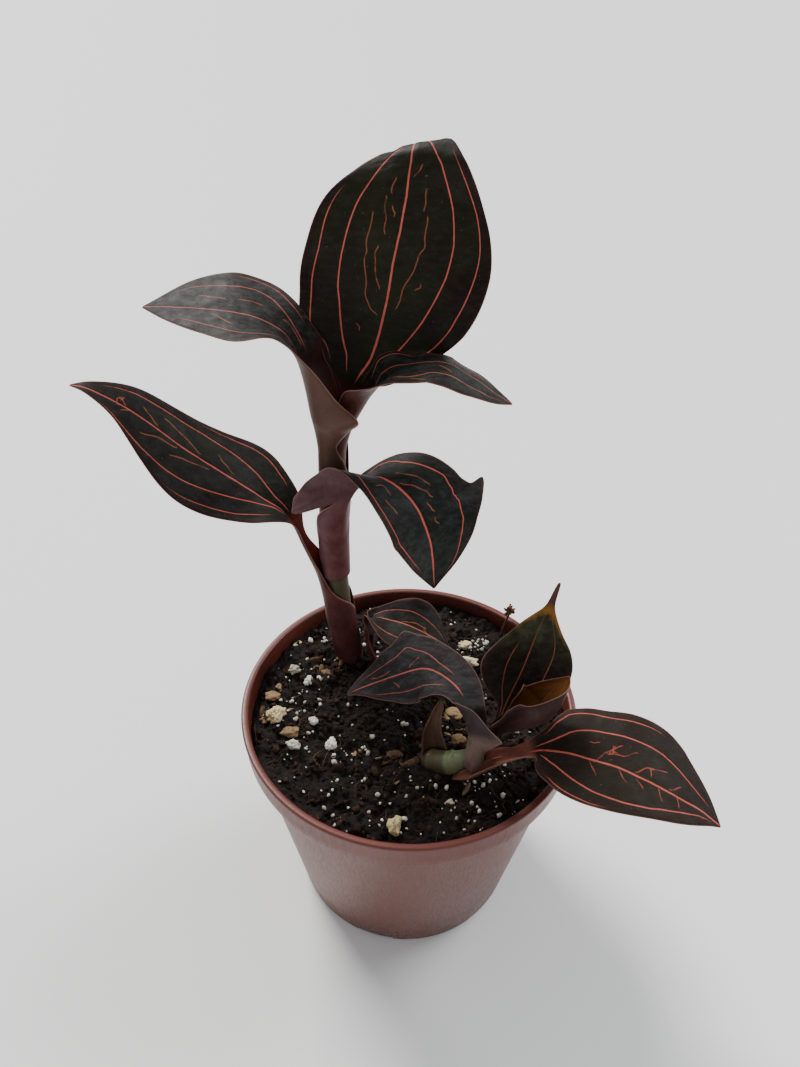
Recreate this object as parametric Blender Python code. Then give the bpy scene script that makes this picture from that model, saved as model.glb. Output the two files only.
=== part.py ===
"""Potted jewel orchid: a plastic pot, its soil and two shoots with ten leaves.

All sizes are written in millimetres and turned to metres when a mesh is made.
Origin at the middle of the pot's flat bottom, +Z up, +X to the right and
+Y away from a viewer in front.
"""

import math

import bmesh
import bpy
import numpy as np
from mathutils import Vector
from mathutils.bvhtree import BVHTree

MM = 0.001

# Pot
RIM_RADIUS = 60.0
RIM_HEIGHT = 90.0
COLLAR_DROP = 10.5
COLLAR_FOOT_RADIUS = 59.0
SHOULDER_RADIUS = 55.8
BASE_RADIUS = 43.2
WALL = 1.4
FLOOR = 1.8
FOOT = 2.2
PAD_RADIUS = 12.0
DRAIN_COUNT = 8
DRAIN_RADIUS = 3.2
DRAIN_CIRCLE = 33.0
NOTCH_COUNT = 6
NOTCH_HALF_WIDTH = 7.0

# Soil
SOIL_LEVEL = 84.0
SOIL_BUMP = 1.1
GAP = 0.3

# Leaves
LEAF_THICKNESS = 0.8
LEAF_STEPS = 2
SHEATH_STRIPS = 6
BLADE_STRIPS = 4


def clear_scene():
    for item in list(bpy.data.objects):
        bpy.data.objects.remove(item, do_unlink=True)


def material(name, colour, roughness, metallic=0.0):
    made = bpy.data.materials.new(name)
    made.use_nodes = True
    shader = made.node_tree.nodes["Principled BSDF"]
    shader.inputs["Base Color"].default_value = (*colour, 1.0)
    shader.inputs["Roughness"].default_value = roughness
    shader.inputs["Metallic"].default_value = metallic
    made.diffuse_color = (*colour, 1.0)
    return made


def add_piece(name, points, faces, paint, smooth_shaded=True):
    """One mesh object from points in millimetres and lists of corner numbers."""
    mesh = bpy.data.meshes.new(name)
    mesh.from_pydata((np.asarray(points) * MM).tolist(), [], faces)
    mesh.validate()
    work = bmesh.new()
    work.from_mesh(mesh)
    bmesh.ops.recalc_face_normals(work, faces=work.faces)
    work.to_mesh(mesh)
    work.free()
    mesh.polygons.foreach_set("use_smooth", [smooth_shaded] * len(mesh.polygons))
    mesh.materials.append(paint)
    piece = bpy.data.objects.new(name, mesh)
    bpy.context.scene.collection.objects.link(piece)
    return piece


def cut(piece, cutters):
    """Cut the cutters out of the piece, then take them away."""
    for tool in cutters:
        tool.hide_render = True
        tool.display_type = "WIRE"
        step = piece.modifiers.new("cut", "BOOLEAN")
        step.operation = "DIFFERENCE"
        step.solver = "EXACT"
        step.object = tool
    bpy.context.view_layer.update()
    result = bpy.data.meshes.new_from_object(
        piece.evaluated_get(bpy.context.evaluated_depsgraph_get()))
    piece.modifiers.clear()
    piece.data = result
    for tool in cutters:
        bpy.data.objects.remove(tool, do_unlink=True)


def grid_faces(rows, columns, wrap):
    """Quads of a grid stored row by row; wrap joins the last column to the first."""
    faces = []
    for row in range(rows - 1):
        for column in range(columns if wrap else columns - 1):
            beside = (column + 1) % columns
            faces.append((row * columns + column, row * columns + beside,
                          (row + 1) * columns + beside, (row + 1) * columns + column))
    return faces


def turned(name, profile, paint, segments=64):
    """Solid turned round the Z axis; the profile of (radius, z) starts and ends on it."""
    angles = np.arange(segments) * 2 * np.pi / segments
    rows = np.asarray(profile[1:-1], float)
    points = np.stack([
        rows[:, 0, None] * np.cos(angles),
        rows[:, 0, None] * np.sin(angles),
        np.repeat(rows[:, 1, None], segments, axis=1)], axis=-1).reshape(-1, 3)
    ends = [(0.0, 0.0, profile[0][1]), (0.0, 0.0, profile[-1][1])]
    faces = grid_faces(len(rows), segments, True)
    last = (len(rows) - 1) * segments
    for column in range(segments):
        beside = (column + 1) % segments
        faces.append((len(points), beside, column))
        faces.append((len(points) + 1, last + column, last + beside))
    return add_piece(name, np.concatenate([points, ends]), faces, paint)


def smooth(knots, values, at):
    """Smooth cubic curve through the values, with each slope a mean of its two sides."""
    knots = np.asarray(knots, float)
    values = np.asarray(values, float)
    step = np.diff(knots)[:, None]
    rise = np.diff(values, axis=0) / step
    slope = np.empty_like(values)
    slope[1:-1] = (rise[:-1] * step[1:] + rise[1:] * step[:-1]) / (step[1:] + step[:-1])
    slope[0] = rise[0]
    slope[-1] = rise[-1]
    piece = np.clip(np.searchsorted(knots, at, side="right") - 1, 0, len(step) - 1)
    width = step[piece]
    u = (at - knots[piece])[:, None] / width
    return ((1 + 2 * u) * (1 - u) ** 2 * values[piece]
            + u * (1 - u) ** 2 * width * slope[piece]
            + u * u * (3 - 2 * u) * values[piece + 1]
            + u * u * (u - 1) * width * slope[piece + 1])


def unit(vectors):
    return vectors / np.linalg.norm(vectors, axis=-1, keepdims=True)


def along(places, share):
    """Points and directions at shares of the length of a smooth line through places."""
    places = np.asarray(places, float)
    hops = np.sqrt(np.linalg.norm(np.diff(places, axis=0), axis=1))
    knots = np.concatenate([[0.0], np.cumsum(hops)])
    fine = smooth(knots, places, np.linspace(0.0, knots[-1], 801))
    run = np.concatenate([[0.0], np.cumsum(np.linalg.norm(np.diff(fine, axis=0), axis=1))])
    run /= run[-1]
    pick = lambda s: np.stack([np.interp(s, run, fine[:, k]) for k in range(3)], axis=1)
    ahead = pick(np.clip(share + 0.002, 0.0, 1.0))
    behind = pick(np.clip(share - 0.002, 0.0, 1.0))
    return pick(share), unit(ahead - behind)


def tube(name, places, radii, paint, steps=24, segments=20):
    """Round stem along a smooth line through places, with one radius for each place."""
    places = np.asarray(places, float)
    share = np.linspace(0.0, 1.0, steps)
    middle, heading = along(places, share)
    hops = np.concatenate([[0.0], np.cumsum(np.linalg.norm(np.diff(places, axis=0), axis=1))])
    radius = smooth(hops / hops[-1], np.asarray(radii, float)[:, None], share)
    side = unit(np.cross(heading, [0.3, 0.9, 0.1]))
    other = np.cross(heading, side)
    angles = np.arange(segments) * 2 * np.pi / segments
    points = (middle[:, None] + radius[:, None] * (
        side[:, None] * np.cos(angles)[None, :, None]
        + other[:, None] * np.sin(angles)[None, :, None])).reshape(-1, 3)
    faces = grid_faces(steps, segments, True)
    faces.append(tuple(range(segments)))
    faces.append(tuple((steps - 1) * segments + k for k in range(segments)))
    return add_piece(name, points, faces, paint)


# Main shoot: a nearly upright axis that every sheath of this shoot is wrapped round.
AXIS_HEIGHTS = (60, 84, 105, 125, 150, 166, 181, 195, 205)
AXIS_X = (-20.0, -22.3, -25.0, -26.0, -26.5, -26.6, -26.2, -24.5, -23.0)
AXIS_Y = 26.4


def leaf_surface(midrib, facing, stations, hug, share, across):
    """Grid of points on a leaf and the thickness direction at each.

    The midrib is a smooth line. At each share of its length the leaf is a round
    arc on either side of it: half width, lift at the midrib, curl out to the
    margin and how far the margin is swept along the midrib, left and right.
    Where the foot hugs the shoot, each point is kept between the least and the
    most distance from the axis that `hug` gives for that share.
    """
    middle, heading = along(midrib, share)
    rows = np.asarray(facing, float)
    normal = smooth(rows[:, 0], unit(rows[:, 1:]), share)
    side = unit(np.cross(heading, normal))
    normal = np.cross(side, heading)
    rows = np.asarray(stations, float)
    columns = smooth(rows[:, 0], rows[:, 1:], share)
    out = np.abs(across)[None, :]
    right = (across >= 0)[None, :]
    width, lift, curl, sweep = (
        np.where(right, columns[:, k + 1, None], columns[:, k, None]) for k in (0, 2, 4, 6))
    width = np.maximum(width, 0.3)
    lift = np.radians(lift)
    curl = np.radians(curl)
    curl = np.where(np.abs(curl) < 0.001, 0.001, curl)
    sideways = width * (np.sin(lift + curl * out) - np.sin(lift)) / curl
    sideways = np.where(right, sideways, -sideways)
    upward = width * (np.cos(lift) - np.cos(lift + curl * out)) / curl
    forward = sweep * out ** 2
    points = (middle[:, None] + side[:, None] * sideways[..., None]
              + normal[:, None] * upward[..., None] + heading[:, None] * forward[..., None])
    if hug:
        rows = np.asarray(hug, float)
        height = points[..., 2]
        centre = np.interp(height, AXIS_HEIGHTS, AXIS_X)
        dx = points[..., 0] - centre
        dy = points[..., 1] - AXIS_Y
        distance = np.hypot(dx, dy)
        least = np.interp(share, rows[:, 0], rows[:, 1])[:, None]
        most = np.interp(share, rows[:, 0], rows[:, 2])[:, None]
        held = (share <= rows[-1, 0])[:, None]
        wanted = np.clip(distance, least, most)
        scale = np.where(held, wanted / np.maximum(distance, 0.01), 1.0)
        points = np.stack([centre + dx * scale, AXIS_Y + dy * scale, height], axis=-1)
    down_rows = np.gradient(points, axis=0)
    over_columns = np.gradient(points, axis=1)
    return points, unit(np.cross(over_columns, down_rows))


def leaf(name, midrib, facing, stations, hug, paint):
    """Closed thin leaf: an upper and a lower sheet joined round the edge."""
    marks = np.asarray(stations, float)[:, 0]
    share = np.interp(np.linspace(0.0, 1.0, LEAF_STEPS * (len(marks) - 1) + 1),
                      np.linspace(0.0, 1.0, len(marks)), marks)
    strips = SHEATH_STRIPS if hug or "rolled" in name else BLADE_STRIPS
    across = np.linspace(-1.0, 1.0, strips * 2 + 1)
    points, normal = leaf_surface(midrib, facing, stations, hug, share, across)
    rows, columns = points.shape[:2]
    half = LEAF_THICKNESS / 2
    top = points + normal * half
    bottom = points - normal * half
    ring = np.concatenate([top, bottom[:, ::-1]], axis=1).reshape(-1, 3)
    faces = grid_faces(rows, columns * 2, True)
    for row in (0, rows - 1):
        base = row * columns * 2
        for k in range(columns - 1):
            faces.append((base + k, base + k + 1,
                          base + 2 * columns - 2 - k, base + 2 * columns - 1 - k))
    return add_piece(name, ring, faces, paint)


clear_scene()

POT_PAINT = material("pot_plastic", (0.21, 0.075, 0.055), 0.42)
SOIL_PAINT = material("potting_soil", (0.017, 0.011, 0.008), 0.95)
GREEN_STEM_PAINT = material("green_stem_skin", (0.11, 0.10, 0.035), 0.5)
LEAF_PAINT = material("dark_leaf", (0.016, 0.013, 0.008), 0.5)
YOUNG_PAINT = material("young_leaf", (0.10, 0.045, 0.012), 0.45)
DRY_PAINT = material("dry_leaf", (0.16, 0.09, 0.05), 0.85)
PERLITE_PAINT = material("perlite", (0.62, 0.56, 0.44), 0.9)
BARK_PAINT = material("bark_chip", (0.24, 0.14, 0.07), 0.9)


def beside_axis(height, distance, degrees):
    """Point level with the axis at a height, set out from it in a compass direction."""
    turn = math.radians(degrees)
    middle = float(np.interp(height, AXIS_HEIGHTS, AXIS_X))
    return (middle + distance * math.cos(turn), AXIS_Y + distance * math.sin(turn), height)


def build_pot():
    top = RIM_HEIGHT
    collar = top - COLLAR_DROP
    profile = [
        (0.0, 0.0), (PAD_RADIUS - 0.5, 0.0), (PAD_RADIUS, FOOT), (BASE_RADIUS - 4.2, FOOT),
        (BASE_RADIUS - 4.0, 0.3), (BASE_RADIUS - 3.7, 0.0), (BASE_RADIUS - 1.6, 0.0),
        (BASE_RADIUS - 0.3, 0.4), (BASE_RADIUS, 1.2),
        (SHOULDER_RADIUS, collar - 1.0), (SHOULDER_RADIUS + 0.4, collar - 0.2),
        (COLLAR_FOOT_RADIUS, collar), (RIM_RADIUS - 0.2, top - 1.2),
        (RIM_RADIUS, top - 0.5), (RIM_RADIUS - 0.5, top), (RIM_RADIUS - 2.2, top),
        (RIM_RADIUS - 2.7, top - 0.5), (COLLAR_FOOT_RADIUS - 2.2, collar + 0.6),
        (SHOULDER_RADIUS - WALL, collar - 1.0), (BASE_RADIUS - WALL, FOOT + FLOOR + 1.0),
        (BASE_RADIUS - WALL - 1.0, FOOT + FLOOR), (0.0, FOOT + FLOOR)]
    pot = turned("pot", profile, POT_PAINT, 48)
    tools = []
    for k in range(DRAIN_COUNT):
        turn = 2 * math.pi * (k + 0.5) / DRAIN_COUNT
        centre = (DRAIN_CIRCLE * math.cos(turn), DRAIN_CIRCLE * math.sin(turn))
        tools.append(rod("drain", centre, FOOT - 1.0, FOOT + FLOOR + 1.0, DRAIN_RADIUS))
    for k in range(NOTCH_COUNT):
        turn = 2 * math.pi * (k + 0.25) / NOTCH_COUNT
        tools.append(block("notch", turn, BASE_RADIUS - 8.0, BASE_RADIUS + 2.0,
                           NOTCH_HALF_WIDTH, -1.0, FOOT - 0.4))
    cut(pot, tools)
    return pot


def rod(name, centre, low, high, radius, segments=20):
    angles = np.arange(segments) * 2 * np.pi / segments
    ring = np.stack([centre[0] + radius * np.cos(angles),
                     centre[1] + radius * np.sin(angles)], axis=1)
    points = np.concatenate([np.column_stack([ring, np.full(segments, low)]),
                             np.column_stack([ring, np.full(segments, high)])])
    faces = grid_faces(2, segments, True)
    faces.append(tuple(range(segments)))
    faces.append(tuple(range(segments, 2 * segments)))
    return add_piece(name, points, faces, POT_PAINT)


def block(name, turn, inner, outer, half_width, low, high):
    radial = np.array([math.cos(turn), math.sin(turn), 0.0])
    sideways = np.array([-math.sin(turn), math.cos(turn), 0.0])
    points = [radial * r + sideways * s + np.array([0.0, 0.0, z])
              for z in (low, high) for r, s in (
                  (inner, -half_width), (outer, -half_width),
                  (outer, half_width), (inner, half_width))]
    faces = grid_faces(2, 4, True) + [(0, 1, 2, 3), (4, 5, 6, 7)]
    return add_piece(name, points, faces, POT_PAINT)


def soil_height(x, y):
    """Level of the soil: low lumps all over, sunk a little toward the pot's wall."""
    lumps = (np.sin(0.23 * x + 1.3) * np.cos(0.19 * y + 0.4)
             + 0.6 * np.sin(0.41 * x - 0.33 * y) + 0.5 * np.cos(0.52 * y + 0.11 * x + 2.0))
    share = np.clip(np.hypot(x, y) / (RIM_RADIUS - 4.0), 0.0, 1.0)
    return SOIL_LEVEL + SOIL_BUMP * lumps * (1.0 - share ** 6) - 1.2 * share ** 3


def pot_inner_radius(z):
    """Radius of the inside of the wall at a height."""
    collar = RIM_HEIGHT - COLLAR_DROP
    return np.interp(z, [FOOT + FLOOR + 1.0, collar - 1.0, collar + 0.6, RIM_HEIGHT - 0.5],
                     [BASE_RADIUS - WALL, SHOULDER_RADIUS - WALL,
                      COLLAR_FOOT_RADIUS - 2.2, RIM_RADIUS - 2.7])


def build_soil():
    segments = 40
    rings = 9
    angles = np.arange(segments) * 2 * np.pi / segments
    edge = float(pot_inner_radius(SOIL_LEVEL - 1.2)) - GAP - 0.15
    points = [(0.0, 0.0, float(soil_height(0.0, 0.0)))]
    for ring in range(1, rings + 1):
        radius = edge * ring / rings
        for a in angles:
            x = radius * math.cos(a)
            y = radius * math.sin(a)
            points.append((x, y, float(soil_height(x, y))))
    collar = RIM_HEIGHT - COLLAR_DROP
    low = FOOT + FLOOR + GAP
    wall = [(COLLAR_FOOT_RADIUS - 2.2 - GAP - 0.1, collar + 0.8),
            (SHOULDER_RADIUS - WALL - GAP - 0.1, collar - 1.0),
            (BASE_RADIUS - WALL - GAP - 0.1, low + 1.0),
            (BASE_RADIUS - WALL - 1.5, low)]
    for radius, z in wall:
        for a in angles:
            points.append((radius * math.cos(a), radius * math.sin(a), z))
    points.append((0.0, 0.0, low))
    faces = []
    for k in range(segments):
        faces.append((0, 1 + k, 1 + (k + 1) % segments))
    for row in range(rings + len(wall) - 1):
        for k in range(segments):
            beside = (k + 1) % segments
            base = 1 + row * segments
            faces.append((base + k, base + beside, base + segments + beside,
                          base + segments + k))
    base = 1 + (rings + len(wall) - 1) * segments
    for k in range(segments):
        faces.append((base + k, base + (k + 1) % segments, len(points) - 1))
    return add_piece("soil", points, faces, SOIL_PAINT)


build_pot()
soil = build_soil()

# Main stem: thick at the soil, thinning as each leaf's sheath takes its place.
MAIN_STEM_HEIGHTS = (66, 84, 105, 125, 138, 150, 166, 180)
MAIN_STEM_RADII = (4.0, 4.6, 4.6, 4.6, 4.2, 3.6, 2.7, 1.6)
tube("main_stem", [beside_axis(z, 0.0, 0.0) for z in MAIN_STEM_HEIGHTS],
     MAIN_STEM_RADII, GREEN_STEM_PAINT, 18, 16)

# Side shoot: creeps up out of the soil, then stands up under the rolled leaf.
SIDE_STEM = ((2.0, -16.0, 76.0), (8.0, -22.0, 83.0), (14.0, -25.5, 87.0),
             (19.0, -25.5, 89.3), (22.5, -24.2, 92.0), (24.6, -22.8, 95.0))
SIDE_STEM_RADII = (3.2, 3.6, 3.6, 3.0, 2.0, 1.7)
tube("side_stem", SIDE_STEM, SIDE_STEM_RADII, GREEN_STEM_PAINT, 14, 14)

# Pockets in the soil: round the main stem and its lowest sheath, and round the side shoot.
main_pocket = tube("main_pocket", [beside_axis(z, 0.0, 0.0) for z in (65.4, 72, 80)],
                   (4.6, 4.8, 5.0), SOIL_PAINT, 8, 20)
sheath_pocket = tube("sheath_pocket", [beside_axis(z, 0.0, 0.0) for z in (79.4, 84, 90)],
                     (6.7, 6.7, 6.7), SOIL_PAINT, 8, 20)
SIDE_POCKET = ((1.0, -14.8, 75.0),) + SIDE_STEM[1:4]
side_pocket = tube("side_pocket", SIDE_POCKET, (4.0, 4.2, 4.1, 3.5), SOIL_PAINT, 16, 16)
cut(soil, [main_pocket, sheath_pocket, side_pocket])

# Each leaf: midrib points from the foot of the sheath to the tip, the way the
# upper side faces at shares of the length, and the stations
# (share, width left, width right, lift l., lift r., curl l., curl r., sweep l., sweep r.).
LEAVES = {
    "left_lower_leaf": (
        [beside_axis(80.0, 5.6, 180), beside_axis(100.0, 5.6, 180),
         beside_axis(112.0, 5.7, 180), (-35.6, 26, 125), (-39.3, 26, 138.7),
         (-42.7, 26, 151.5), (-52, 27, 158.5), (-65, 28, 168), (-75.5, 29, 175.5),
         (-85.5, 30, 184), (-94, 31, 190), (-104.0, 32, 195), (-108.6, 32.5, 195.6)],
        [(0, 1, 0, 0), (0.22, 1, 0, 0.1), (0.36, 0.9, -0.2, 0.6),
         (0.5, 0.55, -0.35, 0.8), (0.8, 0.45, -0.4, 0.85), (1, 0.3, -0.3, 1)],
        [(0.00, 16, 16, 0, 0, 168, 168, 0, 0),
         (0.20, 16.2, 16.2, 0, 0, 166, 166, 0, 0),
         (0.23, 12.5, 13.5, 0, 0, 130, 140, 0, 0),
         (0.26, 8.5, 9, 0, 0, 95, 100, 0, 0),
         (0.34, 5, 5, 15, 15, 45, 45, 0, 0),
         (0.46, 4.4, 4.4, 25, 25, 40, 40, 0, 0),
         (0.50, 9, 9.5, 20, 20, 10, 10, 0, 0),
         (0.59, 14.5, 17.5, 0, 0, 0, 0, 0, 0),
         (0.69, 18, 14, 0, 0, 0, 0, 0, 0),
         (0.80, 12.5, 11, 0, 0, 0, 0, 0, 0),
         (0.90, 5, 8.5, 0, 0, 0, 0, 0, 0),
         (1.00, 0.4, 0.4, 0, 0, 0, 0, 0, 0)],
        [(0, 5.65, 5.8), (0.2, 5.7, 6.2), (0.25, 5.8, 60), (0.4, 5.8, 60)]),
    "right_lower_leaf": (
        [beside_axis(127.0, 5.5, -20), beside_axis(142.0, 5.5, -25),
         (-21.4, 20.0, 156.4), (-19.3, 18.0, 163.5), (-16.4, 16.5, 169.6),
         (-12.0, 13.5, 175.6), (-6.8, 10.0, 175.7), (-1.9, 6.5, 173.1),
         (1.9, 3.5, 168.2), (4.6, 1.0, 161.3), (6.1, -0.5, 152.6), (6.8, -1.0, 143.5)],
        [(0, -0.94, 0.34, 0), (0.2, -0.9, 0.42, 0), (0.36, -0.7, 0.5, 0.5),
         (0.46, -0.2, 0.2, 1), (0.65, 0.5, -0.5, 0.8), (0.8, 0.6, -0.7, 0.5), (1, 0.5, -0.8, 0.3)],
        [(0.00, 15.6, 15.6, 0, 0, 165, 165, 0, 0),
         (0.19, 15.6, 15.6, 0, 0, 165, 165, 0, 0),
         (0.22, 13.6, 14.8, 0, 0, 142, 155, 0, 0),
         (0.25, 11, 14, 0, 0, 115, 145, 0, 0),
         (0.275, 9, 13, 0, 0, 97, 135, 0, 0),
         (0.30, 7, 12, 0, 0, 80, 125, 0, 0),
         (0.36, 5, 9, 20, 0, 50, 90, 0, 0),
         (0.41, 5, 17, 20, 35, 40, 20, 0, -17),
         (0.45, 7, 16, 20, 35, 20, 25, 0, -20),
         (0.50, 10, 15, 20, 40, 0, 20, 0, -17),
         (0.55, 13, 13, 10, 32, 0, 10, 0, -12),
         (0.61, 16.5, 12.5, 10, 12, 0, 5, 0, -6),
         (0.68, 20, 13.5, 10, 10, 0, 0, 0, -2),
         (0.76, 21, 13, 10, 10, 0, 0, 0, 0),
         (0.86, 14, 9, 10, 10, 0, 0, 0, 0),
         (1.00, 0.4, 0.4, 0, 0, 0, 0, 0, 0)],
        [(0, 5.6, 5.8), (0.15, 5.8, 6.4), (0.2, 6.0, 30), (0.3, 6.1, 60), (0.5, 6.1, 60)]),
    "upper_left_leaf": (
        [beside_axis(150.0, 4.3, 180), beside_axis(165.0, 4.6, 180),
         beside_axis(178.0, 5.2, 180), (-33.6, 26.5, 195.0), (-35.5, 27.0, 206.5),
         (-38, 28.0, 213.5), (-41.6, 29.0, 217.2), (-48.8, 30.0, 220.0),
         (-57.6, 31.0, 221.3), (-69.2, 33.0, 221.1), (-82.0, 35.0, 220.4)],
        [(0, 1, 0, 0), (0.25, 1, 0, 0.1), (0.42, 0.9, -0.1, 0.5),
         (0.55, 0.5, -0.2, 1), (0.7, 0, -0.3, 1), (1, 0, -0.3, 1)],
        [(0.00, 12.3, 12.3, 0, 0, 164, 164, 0, 0),
         (0.15, 13, 13, 0, 0, 160, 160, 0, 0),
         (0.22, 11.5, 12.5, 0, 0, 130, 145, 0, 0),
         (0.28, 9.5, 12, 0, 0, 105, 130, 0, 0),
         (0.33, 16, 12, 0, 0, 120, 110, 0, 0),
         (0.37, 21.5, 11, 0, 0, 115, 90, 0, 0),
         (0.44, 15, 9, 10, 10, 80, 70, 0, 0),
         (0.52, 10, 9, 25, 20, 40, 40, 0, 0),
         (0.59, 8, 9, 20, 10, 20, 20, 0, 0),
         (0.68, 14.5, 16.5, 10, 0, 10, 0, 0, 0),
         (0.80, 11, 17, 5, 0, 0, 0, 0, 0),
         (0.90, 7, 12.5, 5, 0, 0, 0, 0, 0),
         (1.00, 0.4, 0.4, 0, 0, 0, 0, 0, 0)],
        [(0, 4.3, 4.35), (0.06, 4.35, 4.45), (0.14, 4.7, 10), (0.3, 5.0, 60)]),
    "upper_right_leaf": (
        [beside_axis(169.0, 3.4, 0), beside_axis(178.0, 3.5, 0), (-20.0, 25.2, 187.0),
         (-17.0, 25.0, 193.0), (-13.2, 24.5, 199.5), (-9.8, 23.5, 203.5),
         (-6.8, 22.5, 206.5), (-2.0, 21.5, 209.0), (3.7, 21.5, 210.8), (9.4, 20.0, 210.7),
         (16.0, 19.0, 207.2), (22.7, 18.0, 202.7), (28.0, 18.0, 199.5)],
        [(0, -1, 0, 0), (0.2, -1, 0, 0.1), (0.35, -0.8, 0.1, 0.6),
         (0.5, -0.2, -0.1, 1), (0.7, 0, -0.2, 1), (1, 0.3, -0.2, 1)],
        [(0.00, 10, 10, 0, 0, 165, 165, 0, 0),
         (0.10, 9, 9.7, 0, 0, 150, 160, 0, 0),
         (0.18, 6, 9, 0, 0, 100, 150, 0, 0),
         (0.30, 5, 10, 0, 10, 60, 120, 0, 0),
         (0.38, 6, 12, 20, 20, 40, 100, 0, 0),
         (0.46, 8.5, 11.5, 20, 35, 20, 40, 0, 0),
         (0.56, 8.5, 10, -10, 15, -10, 0, 0, 0),
         (0.66, 8.5, 10.5, -20, 8, -15, -10, 0, 0),
         (0.78, 9, 11, -20, 10, -15, -15, 0, 0),
         (0.89, 6, 7.5, -10, 10, -10, -10, 0, 0),
         (1.00, 0.4, 0.4, 0, 0, 0, 0, 0, 0)],
        [(0, 3.4, 3.5), (0.12, 3.4, 3.8), (0.2, 3, 60)]),
    "top_leaf": (
        [(-23.0, 30.9, 188.5), (-21.5, 32.2, 194), (-18.3, 33.5, 199.7),
         (-15.0, 35.5, 205.0), (-10.8, 38.0, 219.7), (-6.8, 42.0, 238.0),
         (-2.3, 46.0, 254.0), (0.6, 49.5, 259.3), (2.8, 54.0, 261.3), (4.8, 59.5, 260.5),
         (7.0, 66, 256)],
        [(0, -0.17, -1, 0), (0.3, -0.1, -1, 0.2), (0.7, 0, -0.9, 0.35),
         (0.85, 0.0, -0.6, 0.8), (1, 0, 0.6, 0.9)],
        [(0.00, 2.2, 2.2, 0, 0, 60, 60, 0, 0),
         (0.10, 2.5, 2.5, 10, 10, 60, 60, 0, 0),
         (0.16, 13.5, 8, 0, 0, 20, 20, 0, 0),
         (0.22, 20, 15, 0, 0, 15, 15, 0, 0),
         (0.36, 25.5, 26, 0, 8, 10, 10, 0, 0),
         (0.50, 26, 29, 8, 8, 8, 8, 0, 0),
         (0.65, 21.5, 26, 5, 5, 0, 0, 0, 0),
         (0.78, 13.5, 19, -10, 0, 0, 0, 0, 0),
         (0.88, 6.5, 10, -10, 0, 0, 0, 0, 0),
         (0.94, 3.5, 5, 0, 0, 0, 0, 0, 0),
         (1.00, 0.4, 0.4, 0, 0, 0, 0, 0, 0)],
        None),
    "basal_leaf": (
        [(-13.5, 21.0, 85.5), (-15.5, 22.5, 90.0), (-16.8, 26, 95), (-16.4, 28, 100),
         (-12.9, 28, 102.5), (-7.5, 25.5, 104), (-2.3, 22.5, 105), (2.9, 20.5, 104),
         (8.6, 19.5, 101), (12, 19.5, 98), (16, 20.5, 93.0)],
        [(0, 1, 0.5, 0.2), (0.3, 1, 0, 0.4), (0.5, 0, -0.2, 1), (1, 0.3, -0.2, 1)],
        [(0.00, 2.5, 3, 20, 20, 60, 60, 0, 0),
         (0.20, 2, 4, 20, 20, 60, 60, 0, 0),
         (0.34, 5, 9, 20, 20, 40, 40, 0, 0),
         (0.46, 9, 10, 20, 20, 10, 10, 0, 0),
         (0.62, 13, 12, 10, 10, 0, 0, 0, 0),
         (0.80, 11, 10, 0, 0, 0, 0, 0, 0),
         (0.92, 5, 5, 0, 0, 0, 0, 0, 0),
         (1.00, 0.4, 0.4, 0, 0, 0, 0, 0, 0)],
        None),
    "front_leaf": (
        [(18.8, -31.0, 92.0), (19.8, -30.0, 98.0), (21.2, -26.5, 104), (21.0, -20, 106),
         (17.5, -12, 106.5), (12, -5.5, 107), (4.8, -1.6, 107.5), (-4.9, -1.3, 104),
         (-11.2, -1.6, 101), (-17.9, -2.1, 97.5), (-22, -3, 94.5)],
        [(0, 0.3, 1, 0.3), (0.2, 0, 0.8, 0.6), (0.4, 0.2, -0.2, 1), (1, -0.3, -0.2, 1)],
        [(0.00, 3, 3, 30, 30, 60, 60, 0, 0),
         (0.13, 4.5, 3.2, 30, 30, 50, 50, 0, 0),
         (0.19, 8.0, 3.5, 20, 20, 30, 20, -3, 0),
         (0.27, 12.0, 6, 10, 10, 15, 20, -4, 0),
         (0.36, 14, 10, 10, 10, 0, 0, -2, 0),
         (0.46, 14, 14, 5, 5, 0, 0, 0, 0),
         (0.60, 14, 15, 0, 0, 0, 0, 0, 0),
         (0.78, 10, 12, 0, 0, 0, 0, 0, 0),
         (0.90, 4, 6, 0, 0, 0, 0, 0, 0),
         (1.00, 0.4, 0.4, 0, 0, 0, 0, 0, 0)],
        None),
    "right_low_leaf": (
        [(22.5, -30.7, 88.3), (27.0, -31.0, 93.0), (33, -31.5, 97.5), (42, -30.0, 100),
         (49, -33.8, 103.5), (56, -38.6, 106), (63.4, -42.5, 107), (70.7, -46.3, 106),
         (80, -48.5, 103), (90, -51.5, 98.5), (94.5, -53.4, 95.5)],
        [(0, -0.3, 0.2, 1), (0.3, -0.1, 0, 1), (0.6, 0, -0.1, 1), (1, 0.3, -0.1, 1)],
        [(0.00, 3.2, 3.2, 20, 20, 60, 60, 0, 0),
         (0.22, 3.2, 3.2, 30, 30, 40, 40, 0, 0),
         (0.28, 7, 6, 20, 20, 10, 10, 0, 0),
         (0.42, 18, 14.5, 5, 5, 0, 0, 0, 0),
         (0.58, 22.5, 14.5, 0, 0, 0, 0, 0, 0),
         (0.75, 21, 10, 0, 0, 0, 0, 0, 0),
         (0.90, 11.5, 5, 0, 0, 0, 0, 0, 0),
         (1.00, 0.4, 0.4, 0, 0, 0, 0, 0, 0)],
        None),
    "old_leaf_sheath": (
        [(9.3, -16.6, 86.0), (8.2, -15.0, 92), (9.4, -12.9, 97.5), (11.0, -11.5, 101.5)],
        [(0, 0.2, -1, 0.2), (1, 0.2, -1, 0.4)],
        [(0.00, 3.6, 3.6, 10, 10, 50, 50, 0, 0),
         (0.35, 3.2, 3.6, 10, 10, 50, 50, 0, 0),
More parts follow.
